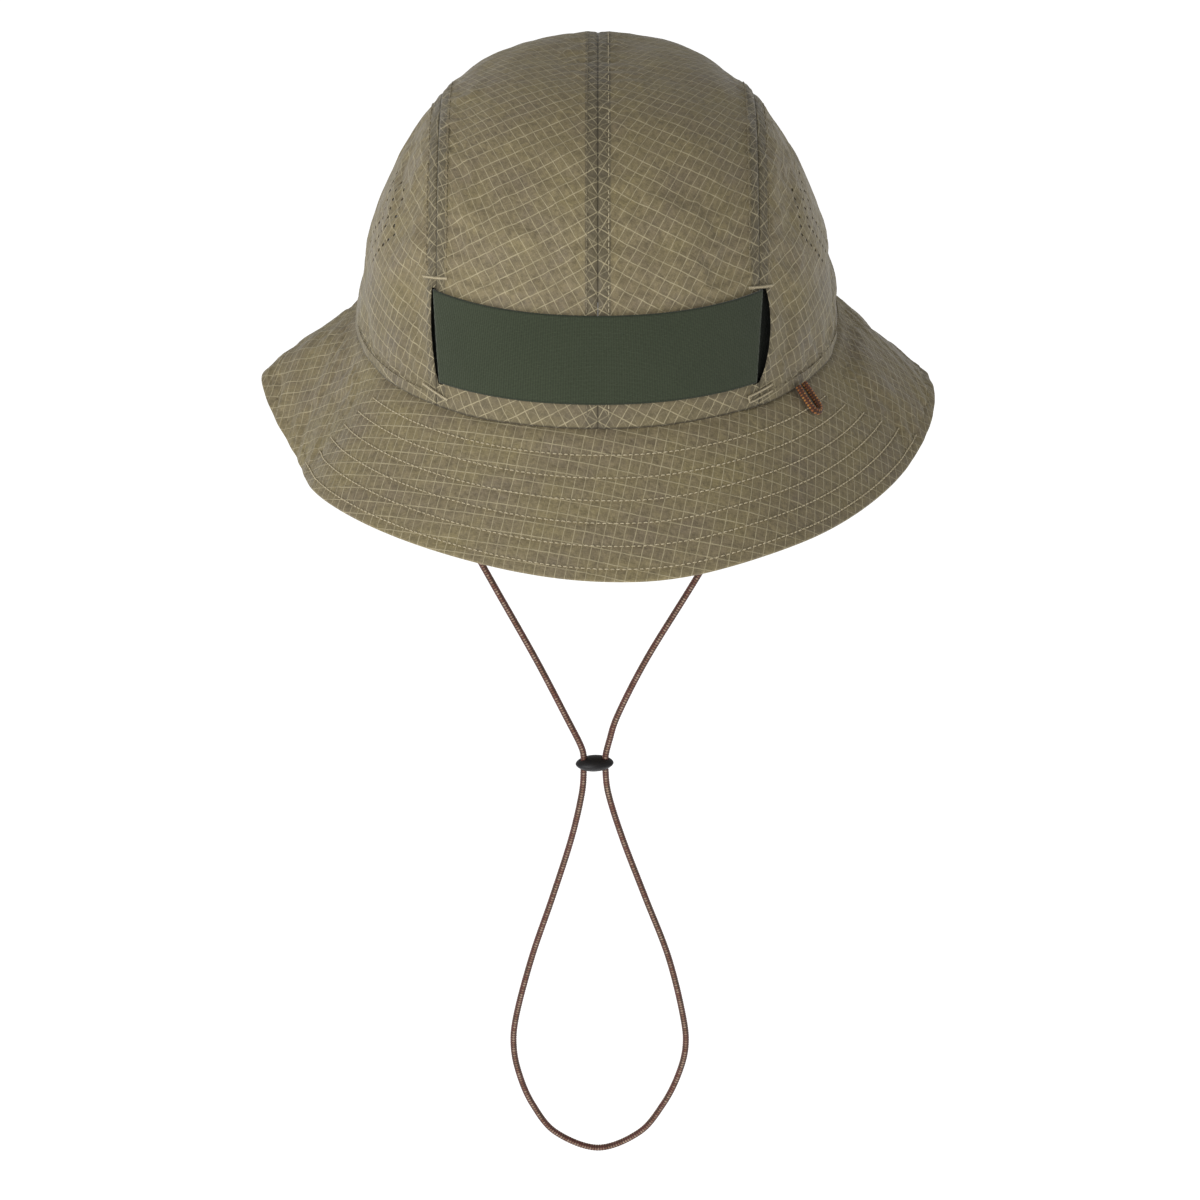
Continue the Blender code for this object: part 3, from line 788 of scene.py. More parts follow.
thread_beige = thread_material("thread_beige", THREAD_BEIGE, colour(166, 152, 118))
thread_olive = thread_material("thread_olive", THREAD_DARK, colour(112, 101, 76))
strip_edge = SEAM_ALLOWANCE - 0.0006
pale = [seam_line(0, strip_edge)]
quiet = [seam_line(0, -strip_edge)]
for side in (-1, 1):
    for away in (-strip_edge, 0.0034):
        line, normals = seam_line(side * SIDE_SEAM, side * away)
        clear = (line[:, 2] > SLIT_TOP + 0.005) | (line[:, 1] > 0)
        quiet.append((line[clear], normals[clear]))
quiet.append(wall_line(np.linspace(42, 318, 760), HEM_HEIGHT - 0.0006))
for lines, thread, tone in ((pale, thread_beige, "pale"), (quiet, thread_olive, "quiet")):
    sewn = stitches(f"crown_topstitching_{tone}", lines, thread, lift=LAYER_RISE - 0.00005)
    place(sewn, "hat", "thread")


# Seam tapes: soft bias tape stitched over the raw seams inside the crown.

TAPE_WIDTH = 0.013
TAPE_BOTTOM = 0.043
TAPE_DEPTH = 0.0011
TAPE_THICKNESS = 0.0005
TAPE_BULGE = 0.0002
TAPE_ROWS = 13

tape_cloth, tape_tree, tape_shader = new_material("bias_tape", Roughness=0.82, Sheen_Weight=0.2)
tape_map = flat_map(tape_tree, "weave")
tape_rib = add_shade(tape_tree, "TexWave", tape_map, bands_direction="DIAGONAL",
                     sockets={"Scale": 320.0, "Distortion": 0.6})
tape_fade = noise_shade(tape_tree, tape_map, 90.0, 3.0)
tape_tone = mix_colours(tape_tree, tape_fade, colour(96, 90, 70), colour(122, 113, 88))
tape_tone = glaze(tape_tree, tape_tone, tape_rib, 0.35, colour(72, 66, 52))
dress(tape_tree, tape_shader, tape_tone, tape_rib, 0.5, 0.0002)

tape_middles = (("centre_seam_tape", 0.0), ("left_seam_tape", -SIDE_SEAM), ("right_seam_tape", SIDE_SEAM))
for name, middle in tape_middles:
    x = middle + TAPE_WIDTH * (np.linspace(0, 1, TAPE_ROWS) - 0.5)
    turn = np.linspace(0, math.pi, 400)
    strip = over_the_top(x[:, None], turn[None, :])
    strip = strip[:, (strip[..., 2] > TAPE_BOTTOM).all(0)]
    bulge = TAPE_BULGE * np.sin(np.linspace(0, math.pi, TAPE_ROWS))[:, None] - TAPE_DEPTH
    strip = off_crown(strip, bulge)
    maps = {"weave": (running_length(strip, 0), running_length(strip, 1))}
    tape = make_piece(f"bias_{name}", strip, tape_cloth, maps)
    finish_cloth(tape, lambda centre: centre, TAPE_THICKNESS)
    place(tape, "hat", "seam_tape", name)


# Elastic band: a wide dark green woven elastic, finely ribbed, stretched across the front. Its
# ends pass through the slits and are sewn down behind the side panels.

BAND_BOTTOM = 0.0092
BAND_TOP = 0.039
BAND_THICKNESS = 0.001
BAND_END_ANGLE = 62
BAND_RIB = 0.0009
BAND_TURN = 0.0024
BAND_OUTER = GAP + 0.0005
BAND_INNER = -0.0024
BAND_RIB_RISE = 0.00009
BAND_COLUMNS, BAND_ROWS = 760, 26
BAND_SHADE = colour(30, 36, 25)

band_cloth, band_tree, band_shader = new_material("woven_elastic", Roughness=0.86, Sheen_Weight=0.25,
                                                  Sheen_Roughness=0.5, Specular_IOR_Level=0.2)
band_map = flat_map(band_tree, "weave")
band_parts = split(band_tree, band_map)
rib = thread_lines(band_tree, band_parts[0], BAND_RIB, 0.00012, 0.0003)
pick = thread_lines(band_tree, band_parts[1], 0.00045, 0.00006, 0.00016)
band_crossing = add_shade(band_tree, "Mapping", band_map, None, None, (900, 2400, 1))
band_noise = noise_shade(band_tree, band_crossing, 1.0)
band_fade = noise_shade(band_tree, band_map, 45.0, 3.0)
band_tone = mix_colours(band_tree, band_fade, colour(45, 53, 36), colour(59, 67, 48))
band_tone = glaze(band_tree, band_tone, rib, 0.55, BAND_SHADE)
band_tone = glaze(band_tree, band_tone, pick, band_noise, colour(80, 88, 69))
band_turn = split(band_tree, flat_map(band_tree, "turn"))
# Painted shade: the band darkens towards its ends, where it dives into the slits.
slit_shadow_share = ramp(band_tree, band_turn[0], 0.35, 0.95, 0.0, 0.85)
# Painted shadow: a thin dark line along both edges of the band.
band_edge_shadow = ramp(band_tree, band_turn[1], 0.0004, 0.0009, 0.45, 0.0)
band_tone = mix_colours(band_tree, band_edge_shadow, band_tone, BAND_SHADE)
band_tone = mix_colours(band_tree, slit_shadow_share, band_tone, colour(17, 20, 14))
dress(band_tree, band_shader, band_tone, calc(band_tree, "ADD", pick, band_noise), 0.5, 0.00015)

band_angles = np.linspace(-BAND_END_ANGLE, BAND_END_ANGLE, BAND_COLUMNS)
band_heights = BAND_BOTTOM + (BAND_TOP - BAND_BOTTOM) * graded(BAND_ROWS, 0.6)
wall = crown_points(band_angles[None, :], band_heights[:, None])
past_edge = np.abs(wall[..., 0]) - slit_edges("left", wall[..., 2])[0] - 0.0002
reach = np.clip(past_edge / BAND_TURN, 0, 1)
passing = BAND_OUTER + (BAND_INNER - BAND_OUTER) * smooth_step(reach, 0, 1)
along = base_arc(band_angles)[None, :] + 0 * wall[..., 0]
ribs = BAND_RIB_RISE * np.cos(along * 2 * math.pi / BAND_RIB)
border = np.sin(math.pi * np.linspace(0, 1, BAND_ROWS))[:, None] ** 0.15
sag = 0.00035 * soft_noise(wall, 0.03, 31) * (1 - reach)
band_grid = off_crown(wall, passing + ribs * border + np.clip(sag, 0, None) + 0.0002)
up_band = wall_length(wall[..., 2])
border_away = np.minimum(up_band - up_band[:1], up_band[-1:] - up_band)
band_maps = {"weave": (along, up_band), "turn": (reach, border_away)}
band = make_piece("elastic_webbing", band_grid, band_cloth, band_maps)
finish_cloth(band, lambda centre: centre, BAND_THICKNESS - 0.0002, -0.4)
place(band, "hat", "elastic", "elastic_band")


# Bar tacks: short bars of dense zigzag stitching that lock both ends of each slit; the lower
# right one is finished as a small open box.

TACK_LENGTH = 0.0088
TACK_WIDTH = 0.0009
TACK_PITCH = 0.00042
TACK_RISE = 0.003
TACK_LIFT = 0.00062
TACK_ARCH = 0.00022
TACK_THREAD = 0.00017


def angle_at(x, z):
    """The angles at which the crown's wall reaches distances x from the middle plane."""
    reach = np.clip(x / (CROWN_HALF_WIDTH * wall_scale(z)), -1, 1)
    return np.degrees(np.arcsin(signed_power(reach, OVAL_POWER / 2)))


def zigzag(start, end, width):
    """A zigzag of thread on the crown between two (x, z) places."""
    start, end = np.array(start), np.array(end)
    ahead = (end - start) / np.linalg.norm(end - start)
    aside = np.array([-ahead[1], ahead[0]])
    count = int(np.linalg.norm(end - start) / TACK_PITCH) * 2
    share = np.linspace(0, 1, count * 3 + 1)
    swing = np.abs((share * count) % 2 - 1) * 2 - 1
    flat = start + (end - start) * share[:, None] + aside * (swing * width / 2)[:, None]
    path = crown_points(angle_at(flat[:, 0], flat[:, 1]), flat[:, 1])
    normals = crown_normals(path)
    arch = TACK_LIFT + TACK_ARCH * (1 - np.abs(swing))
    return tube_points(path + normals * arch[:, None], np.full(len(path), TACK_THREAD), STITCH_SIDES,
                       normals)


half = TACK_LENGTH / 2
top, bottom = SLIT_TOP + TACK_RISE, SLIT_BOTTOM - TACK_RISE
near, far = SIDE_SEAM - half, SIDE_SEAM + half
bar_tacks = {
    "bar_tack_top_left": [((-far, top - 0.0012), (-near, top + 0.0013), TACK_WIDTH)],
    "bar_tack_top_right": [((near, top - 0.0016), (far, top - 0.0040), TACK_WIDTH)],
    "bar_tack_bottom_left": [((-far, bottom + 0.0010), (-near, bottom - 0.0016), TACK_WIDTH)],
    "bar_tack_bottom_right": [((near, bottom - 0.0006), (far, bottom + 0.0008), 0.0007),
                              ((near + 0.0006, bottom - 0.0028), (far, bottom - 0.0014), 0.0005),
                              ((near, bottom - 0.0006), (near + 0.0006, bottom - 0.0028), 0.0005)],
}
for name, bars in bar_tacks.items():
    tack = join_tubes(f"satin_{name}", [zigzag(*bar) for bar in bars], thread_beige)
    place(tack, "hat", "thread", name)


# Brim: two layers of ripstop cut as rings, joined and turned at the edge, sewn to the crown's
# base. The visor over the face holds a thin stiffener and is quilted with six rows of stitches.

BRIM_WIDTH = 0.0482
VISOR_EXTRA = 0.008
VISOR_CENTRE = 8
VISOR_SPREAD = 30
BRIM_DROOP = 49
BRIM_BENDS = [(-74, 14, 8.5), (-96, 9, -13), (92, 20, -11), (26, 13, -5.5), (-150, 28, 3), (150, 30, 2)]
BRIM_INSET = 0.0004
BRIM_COLUMNS, BRIM_ROWS = 640, 46
EDGE_STEPS = 9
BRIM_GRAIN = 12
FLAT_RADIUS = 0.147
FAR_AWAY = 0.05
THIN, THICK = 0.0009, 0.0014
BRIM_CLOTH = 0.0003
TOP_END = 0.985
UNDER_END = 0.978
STIFFENER_ANGLE = 58
STIFFENER_THICKNESS = 0.0004
BRIM_GROWTH = 0.028
BRIM_REACH = 0.0011
ROW_COUNT = 6
FIRST_ROW = 0.173
ROW_STEP = 0.149
ROW_ENDS = [(-58, 60), (-60, 63.5), (-62.5, 67), (-64.5, 70), (-66.5, 73), (-69, 76)]


def brim_shape(angle):
    """The brim's width and droop at angles round the head."""
    around = (angle + 180) % 360 - 180
    width = BRIM_WIDTH + VISOR_EXTRA * np.exp(-((around - VISOR_CENTRE) / VISOR_SPREAD) ** 2)
    droop = BRIM_DROOP + 0 * around
    for centre, spread, amount in BRIM_BENDS:
        away = (around - centre + 180) % 360 - 180
        droop = droop + amount * np.exp(-(away / spread) ** 2)
    return width, np.radians(droop)


def brim_points(angle, across, up=0.0):
    """Points of the brim's upper face and its normals; across is 0 at the crown and 1 at the edge."""
    angle, across, up = np.broadcast_arrays(np.asarray(angle, float), across, up)
    base, level = oval(angle, BRIM_INSET)
    width, droop = brim_shape(angle)
    upright = np.array([0, 0, 1.0])
    down = level * np.cos(droop)[..., None] - upright * np.sin(droop)[..., None]
    normal = level * np.sin(droop)[..., None] + upright * np.cos(droop)[..., None]
    return base + down * (across * width)[..., None] + normal * up[..., None], normal


def visor_share(angle, soft=6.0):
    """1 over the stiffened visor and 0 round the rest of the brim."""
    left = smooth_step(angle, ROW_ENDS[2][0] - soft, ROW_ENDS[2][0] + soft)
    return left * (1 - smooth_step(angle, ROW_ENDS[2][1] - soft, ROW_ENDS[2][1] + soft))


def row_dip(angle, across):
    """How deep the stitch rows pull the visor's cloth in."""
    dip = 0 * across + 0 * angle
    for row, (left, right) in enumerate(ROW_ENDS):
        away = (across - FIRST_ROW - ROW_STEP * row) * 0.055
        there = smooth_step(angle, left - 1, left + 1) * (1 - smooth_step(angle, right - 1, right + 1))
        dip = dip + there * np.exp(-(away / 0.0011) ** 2)
    return dip


def brim_relief(points, angle, across):
    """The quilting of the visor and the slack creases round the rest of the brim."""
    visor = visor_share(angle)
    slack = (1 - visor) * smooth_step(across, 0.02, 0.3)
    crease = 0.0006 * np.exp(-(across / 0.022) ** 2)
    relief = (0.00030 * visor * smooth_step(across, 0.03, 0.12)) - 0.00022 * row_dip(angle, across)
    relief = relief + 0.00038 * soft_noise(points, 0.009, 41) * (0.30 + 0.70 * slack)
    arc = base_arc(angle) * (1 + 0.35 * across)
    radial = np.stack([arc / 0.010, across * 0.9, 0 * arc], -1)
    relief = relief + 0.00090 * slack * soft_noise(radial, 1.0, 43)
    relief = relief + 0.0014 * slack * soft_noise(points, 0.034, 44)
    return relief - crease + 0.0005 * visor * soft_noise(points, 0.045, 45) * smooth_step(across, 0.02, 0.2)


def flat_ring(angle, distance):
    """Places on the flat cut ring of the brim, turned to its grain."""
    turn = base_arc(angle) / FLAT_RADIUS + math.radians(BRIM_GRAIN)
    radius = FLAT_RADIUS + distance
    return radius * np.sin(turn), -radius * np.cos(turn)


brim_angles = np.linspace(-180, 180, BRIM_COLUMNS)
total_thickness = THIN + (THICK - THIN) * visor_share(brim_angles, 10)
row_places = FIRST_ROW + ROW_STEP * np.arange(ROW_COUNT)
even_rows = np.linspace(-0.04, TOP_END, BRIM_ROWS)
even_rows = even_rows[np.abs(even_rows[:, None] - row_places).min(1) > 0.022]
close_rows = (row_places[:, None] + np.array([-0.02, -0.01, 0, 0.01, 0.02])).ravel()
across = np.sort(np.concatenate([even_rows, close_rows[close_rows < TOP_END]]))[:, None] + 0 * brim_angles
flat_top, normals = brim_points(brim_angles[None, :], across)
top_relief = brim_relief(flat_top, brim_angles[None, :], across)
top_rows = flat_top + normals * top_relief[..., None]
fold = np.linspace(0, math.pi, EDGE_STEPS + 1)[1:, None]
fold_radius = total_thickness / 2
width = brim_shape(brim_angles)[0]
fold_across = TOP_END + fold_radius * np.sin(fold) / width
fold_up = top_relief[-1] - fold_radius * (1 - np.cos(fold))
edge_rows, _ = brim_points(brim_angles[None, :], fold_across, fold_up)
tuck_across = TOP_END - np.array([0.02, 0.05, 0.08])[:, None] + 0 * brim_angles
tuck_up = top_relief[-1] - 2 * fold_radius + 0 * tuck_across
tuck_rows, _ = brim_points(brim_angles[None, :], tuck_across, tuck_up)
brim_grid = np.concatenate([top_rows, edge_rows, tuck_rows])
distance = running_length(brim_grid, 0)
brim_maps = {"weave": flat_ring(brim_angles[None, :], distance),
             "seam": (FAR_AWAY, FAR_AWAY + 0 * distance)}
free = (1 - visor_share(brim_angles, 10))[None, :] * smooth_step(across, 0.03, 0.2)
free = free * (1 - smooth_step(across, 0.88, 0.97))
free = np.concatenate([free, np.zeros((len(brim_grid) - len(across), BRIM_COLUMNS))])
brim = make_piece("ripstop_brim_top", brim_grid, ripstop, brim_maps, merge=1e-6, freedom=free)
finish_cloth(brim, lambda centre: Vector((centre.x, centre.y, 0.1)), BRIM_CLOTH,
             settle=(BRIM_GROWTH, BRIM_REACH))
place(brim, "hat", "ripstop", "brim_top")

under_across = across[across[:, 0] < UNDER_END]
flat_under, under_normals = brim_points(brim_angles[None, :], under_across)
under_relief = brim_relief(flat_under, brim_angles[None, :], under_across)
under_relief = under_relief + 0.0002 * row_dip(brim_angles[None, :], under_across) - total_thickness
under_relief = under_relief + 0.0003 * smooth_step(under_across, 0.82, 0.88)
under_grid = flat_under + under_normals * under_relief[..., None]
ring_x, ring_y = flat_ring(brim_angles[None, :], running_length(under_grid, 0))
under_maps = {"weave": (-ring_x, ring_y), "seam": (FAR_AWAY, FAR_AWAY + 0 * ring_x)}
under = make_piece("ripstop_brim_underside", under_grid, ripstop, under_maps, merge=1e-6)
finish_cloth(under, lambda centre: Vector((-centre.x, -centre.y, -0.1)), BRIM_CLOTH)
place(under, "hat", "ripstop", "brim_underside")

stiff_angles = np.linspace(-STIFFENER_ANGLE, STIFFENER_ANGLE, 180)
stiff_across = np.linspace(0.1, 0.93, 90)[:, None] + 0 * stiff_angles
stiff_grid, stiff_normals = brim_points(stiff_angles[None, :], stiff_across)
stiff_relief = brim_relief(stiff_grid, stiff_angles[None, :], stiff_across)
stiff_grid = stiff_grid + stiff_normals * (stiff_relief - STIFFENER_THICKNESS)[..., None]
felt, felt_tree, felt_shader = new_material("stiffener_felt", Roughness=0.95)
fibres = noise_shade(felt_tree, None, 900.0, 5.0, 0.7)
dress(felt_tree, felt_shader, mix_colours(felt_tree, fibres, colour(178, 178, 172), colour(222, 222, 216)))
stiffener = make_piece("felt_visor_stiffener", stiff_grid, felt)
finish_cloth(stiffener, lambda centre: Vector((centre.x, centre.y, 0.1)), STIFFENER_THICKNESS)
place(stiffener, "hat", "stiffener", "visor_stiffener")


# Visor stitch rows: six curved rows of lockstitch through both layers and the stiffener, in the
# same beige thread, seen on both faces of the visor.

ROW_STITCH_PITCH = 0.00205
ROW_STITCH_LENGTH = 0.00138
ROW_STITCH_RADIUS = 0.00026
ROW_SAMPLES = 420

for row, (left, right) in enumerate(ROW_ENDS):
    row_angles = np.linspace(left, right, ROW_SAMPLES)
    row_across = np.full(ROW_SAMPLES, FIRST_ROW + ROW_STEP * row)
    path, normals = brim_points(row_angles, row_across)
    height = brim_relief(path, row_angles, row_across)
    depth = np.interp(row_angles, brim_angles, total_thickness)
    lower = height + 0.0004 * row_dip(row_angles, row_across) - depth
    lines = [(path + normals * height[:, None], normals), (path + normals * lower[:, None], -normals)]
    sewn = stitches(f"thread_row_{row + 1}", lines, thread_beige, ROW_STITCH_PITCH, ROW_STITCH_LENGTH,
                    ROW_STITCH_RADIUS, 0.00012)
    place(sewn, "hat", "thread", f"visor_stitch_row_{row + 1}")


# Sweatband: a soft brushed tape sewn round the inside of the crown's base, with its upper edge
# left free, and a plain label caught in it at the back.

SWEATBAND_HEIGHT = 0.032
SWEATBAND_INSET = 0.0031
SWEATBAND_THICKNESS = 0.0012
SWEAT_ROWS, SWEAT_COLUMNS = 22, 361
LABEL_ANGLES = (150, 172.5)
LABEL_THICKNESS = 0.0003

sweat_cloth, sweat_tree, sweat_shader = new_material("brushed_tape", Roughness=0.92, Sheen_Weight=0.35)
sweat_map = flat_map(sweat_tree, "weave")
twill = add_shade(sweat_tree, "TexWave", sweat_map, bands_direction="DIAGONAL",
                  sockets={"Scale": 420.0, "Distortion": 1.0, "Detail": 1.0})
nap = noise_shade(sweat_tree, sweat_map, 700.0, 4.0, 0.7)
sweat_tone = mix_colours(sweat_tree, nap, colour(66, 68, 54), colour(96, 97, 80))
sweat_tone = glaze(sweat_tree, sweat_tone, twill, 0.4, colour(50, 52, 41))
dress(sweat_tree, sweat_shader, sweat_tone, calc(sweat_tree, "ADD", twill, nap), 0.5, 0.0003)

sweat_angles = np.linspace(0, 360, SWEAT_COLUMNS)
sweat_heights = GAP + (SWEATBAND_HEIGHT - GAP) * graded(SWEAT_ROWS, 0.6)
sweat_wall = crown_points(sweat_angles[None, :], sweat_heights[:, None])
rolled = 0.0004 * np.sin(math.pi * np.linspace(0, 1, SWEAT_ROWS))[:, None]
rolled = rolled + 0.0003 * soft_noise(sweat_wall, 0.02, 61)
sewn_out = (SWEATBAND_INSET - 0.0008) * np.exp(-((sweat_heights - GAP) / 0.0014) ** 2)[:, None]
sweat_grid = off_crown(sweat_wall, rolled + sewn_out - SWEATBAND_INSET - 0.0002)
sweat_grid[:, -1] = sweat_grid[:, 0]
sweat_maps = {"weave": (running_length(sweat_grid, 1), running_length(sweat_grid, 0))}
sweatband = make_piece("sweatband_tape", sweat_grid, sweat_cloth, sweat_maps, merge=1e-6)
finish_cloth(sweatband, lambda centre: Vector((centre.x, centre.y, 0)), SWEATBAND_THICKNESS)
place(sweatband, "hat", "sweatband", "sweatband")

label_cloth, label_tree, label_shader = new_material("woven_label", Roughness=0.7, Sheen_Weight=0.1)
label_map = flat_map(label_tree, "weave")
label_parts = split(label_tree, label_map)
label_picks = thread_lines(label_tree, label_parts[1], 0.0004, 0.00006, 0.00012)
label_noise = noise_shade(label_tree, label_map, 400.0, 3.0)
label_tone = mix_colours(label_tree, label_noise, colour(196, 195, 188), colour(226, 225, 218))
label_tone = glaze(label_tree, label_tone, label_picks, 0.3, colour(160, 160, 152))
dress(label_tree, label_shader, label_tone)
label_angles = np.linspace(*LABEL_ANGLES, 40)
label_heights = np.linspace(0.0015, 0.0205, 16)
label_wall = crown_points(label_angles[None, :], label_heights[:, None])
label_depth = SWEATBAND_INSET + SWEATBAND_THICKNESS + 0.0005 + 0.0004 * soft_noise(label_wall, 0.012, 71)
label_grid = off_crown(label_wall, -label_depth)
label_maps = {"weave": (running_length(label_grid, 1), running_length(label_grid, 0))}
label = make_piece("woven_care_label", label_grid, label_cloth, label_maps)
finish_cloth(label, lambda centre: Vector((centre.x, centre.y, 0)), LABEL_THICKNESS)
place(label, "hat", "label", "care_label")
inside = crown_points(np.linspace(149, 173.5, 120), np.full(120, 0.0196))
inside_out = -crown_normals(inside)
inside = inside + inside_out * (SWEATBAND_INSET + SWEATBAND_THICKNESS + 0.0009)
label_seam = stitches("label_stitches", [(inside, inside_out)], thread_olive)
place(label_seam, "hat", "thread")


# Cord tabs: two folded loops of tape sewn under the sweatband that hold the chin cord's ends.

TAB_X = 0.0807
TAB_SIZE = (0.0016, 0.009, 0.0038)
CORD_Y = -0.037

for side, hand in ((-1, "left"), (1, "right")):
    thick, long, tall = TAB_SIZE
    fold = [(0.32 * thick * -math.sin(a), 0.0006 - tall - 0.0005 * math.cos(a))
            for a in np.linspace(-math.pi / 2, math.pi / 2, 9)]
    fold = [(0.32 * thick, 0), *fold, (-0.32 * thick, 0)]
    tab_grid = np.array([[[side * TAB_X + offset, CORD_Y + long * share, drop] for offset, drop in fold]
                         for share in np.linspace(-0.5, 0.5, 19)])
    tab_maps = {"weave": (running_length(tab_grid, 0), running_length(tab_grid, 1))}
    tab = make_piece(f"folded_tab_{hand}", tab_grid, tape_cloth, tab_maps)
    finish_cloth(tab, None, 0.0004, 0)
    place(tab, "hat", "sweatband", f"cord_tab_{hand}")


# Cord stopper: a small lens-shaped slider moulded in black plastic, with two smooth holes that
# grip the cord, and a fine parting line round its rim.

STOPPER_CENTRE = (-0.0013, CORD_Y, -0.1647)
STOPPER_HALF = (0.0072, 0.0047, 0.0028)
STOPPER_HOLE_X = 0.0041
STOPPER_HOLE_RADIUS = 0.00155
STOPPER_TILT = 2.5

black_plastic, plastic_tree, plastic_shader = new_material("black_moulded_plastic", Specular_IOR_Level=0.4)
grain = noise_shade(plastic_tree, None, 1400.0, 3.0)
scuff = noise_shade(plastic_tree, None, 220.0, 4.0)
plastic_tree.links.new(ramp(plastic_tree, scuff, 0.3, 0.7, 0.36, 0.52), plastic_shader.inputs["Roughness"])
plastic_tone = mix_colours(plastic_tree, scuff, colour(20, 19, 21), colour(34, 33, 36))
dress(plastic_tree, plastic_shader, plastic_tone, grain, 0.25, 0.0001)

bm = bmesh.new()
bmesh.ops.create_uvsphere(bm, u_segments=96, v_segments=48, radius=1)
for vert in bm.verts:
    x, y, z = vert.co
    reach = math.hypot(x, y)
    vert.co.z = math.copysign(abs(z) ** 1.15, z) * (1 - 0.10 * reach ** 6)
    if abs(z) < 0.04:
        vert.co.x *= 0.985
        vert.co.y *= 0.985
bmesh.ops.transform(bm, matrix=Matrix.Diagonal((*STOPPER_HALF, 1)), verts=bm.verts)
lens = solid_from(bm, "stopper_lens")
lens.data.materials.append(black_plastic)
bm = bmesh.new()
for side in (-1, 1):
    bmesh.ops.create_cone(bm, cap_ends=True, segments=40, radius1=STOPPER_HOLE_RADIUS,
                          radius2=STOPPER_HOLE_RADIUS, depth=0.02,
                          matrix=Matrix.Translation((side * STOPPER_HOLE_X, 0, 0)))
cut_away(lens, solid_from(bm, "stopper_hole_cutter"))
rounding = lens.modifiers.new("rounded_edges", "BEVEL")
rounding.width = 0.00018
rounding.segments = 2
rounding.limit_method = "ANGLE"
rounding.angle_limit = math.radians(45)
keep_result(lens)
lens.data.shade_smooth()
lens.location = STOPPER_CENTRE
lens.rotation_euler = (0, -math.radians(STOPPER_TILT), 0)
place(lens, "cord_stopper", "stopper", "cord_stopper")


# Chin cord: a round braid of rust, brown, black and sand yarns over a soft core. One length runs
# from tab to tab through the stopper's two holes, and hangs in a long loop below it.

CORD_RADIUS = 0.00125
CORD_ROUTE_MM = [
    (-80.7, -6), (-69, -29.5), (-54, -60), (-38.5, -91), (-23.3, -121), (-11.6, -146), (-6.6, -157),
    (-5.4, -162), (-5.4, -167.5), (-6.2, -178), (-10.2, -197), (-17.4, -222), (-25.4, -248),
    (-31.6, -274), (-32.7, -288), (-30.4, -301), (-25.4, -314), (-16.5, -326.5), (0, -333.5),
    (16, -326.5), (25.2, -314), (31, -301), (33.9, -288), (32.8, -274), (27, -248), (18, -222),
    (9.4, -197), (4, -178), (2.8, -167.5), (2.8, -162), (4.3, -155), (7.6, -144), (18.2, -121),
    (34.8, -91), (51.5, -60), (67.8, -29.5), (80.7, -6),
]
BRAID_PITCH = 0.0021
BRAID_STRANDS = 4
BRAID_SIDES = 16
RING_STEP = 0.00035


def smooth_path(points, step):
    """Evenly spaced points of a smooth curve through given points."""
    points = np.asarray(points, float)
    padded = np.concatenate([[points[0] * 2 - points[1]], points, [points[-1] * 2 - points[-2]]])
    fine = []
    for before, start, end, after in zip(padded, padded[1:], padded[2:], padded[3:]):
        t = np.linspace(0, 1, 16, endpoint=False)[:, None]
        fine.append(0.5 * (2 * start + (end - before) * t
                           + (2 * before - 5 * start + 4 * end - after) * t ** 2
                           + (3 * start - before - 3 * end + after) * t ** 3))
    fine = np.concatenate(fine + [points[-1:]])
    reach = running_length(fine[None], 1)[0]
    spots = np.linspace(0, reach[-1], int(reach[-1] / step) + 1)
    return np.stack([np.interp(spots, reach, fine[:, axis]) for axis in range(3)], -1)


def braid_material(name, dark_yarns, light_yarns, groove_shade):
    """A round braid: light and dark yarns wind against each other and take turns to lie on top; the grooves
    between them get painted shade.
    """
    material, tree, shader = new_material(name, Roughness=0.62, Sheen_Weight=0.2, Specular_IOR_Level=0.3)
    braid = flat_map(tree, "braid")
    parts = split(tree, braid)
    round_count = calc(tree, "MULTIPLY", parts[0], BRAID_STRANDS)
    length_count = calc(tree, "MULTIPLY", parts[1], BRAID_STRANDS / BRAID_PITCH / 2)
    right = calc(tree, "ADD", round_count, length_count)
    left = calc(tree, "SUBTRACT", round_count, length_count)
    cells = [calc(tree, "FLOOR", value) for value in (right, left)]
    turn = calc(tree, "ADD", *cells)
    turn = calc(tree, "MULTIPLY", turn, 0.5)
    turn = calc(tree, "FRACT", turn)
    on_top = calc(tree, "GREATER_THAN", turn, 0.25)
    runs = add_shade(tree, "Mapping", braid, None, None, (2.0, 210, 1))
    runs = ramp(tree, noise_shade(tree, runs, 1.0, 2.0), 0.38, 0.62, 0.0, 1.0)
    cell = add_shade(tree, "CombineXYZ", *cells)
    pick = add_shade(tree, "TexWhiteNoise", noise_dimensions="2D", sockets={"Vector": cell})
    dark = mix_colours(tree, runs, *dark_yarns)
    light = mix_colours(tree, pick, *light_yarns)
    tone = mix_colours(tree, on_top, dark, light)
    # Painted shade: each cell darkens towards its edges, in the grooves between the yarns.
    gap = calc(tree, "MAXIMUM", from_middle(tree, right), from_middle(tree, left))
    groove = ramp(tree, gap, 0.24, 0.5, 0.0, 0.9)
    dress(tree, shader, mix_colours(tree, groove, tone, groove_shade))
    return material


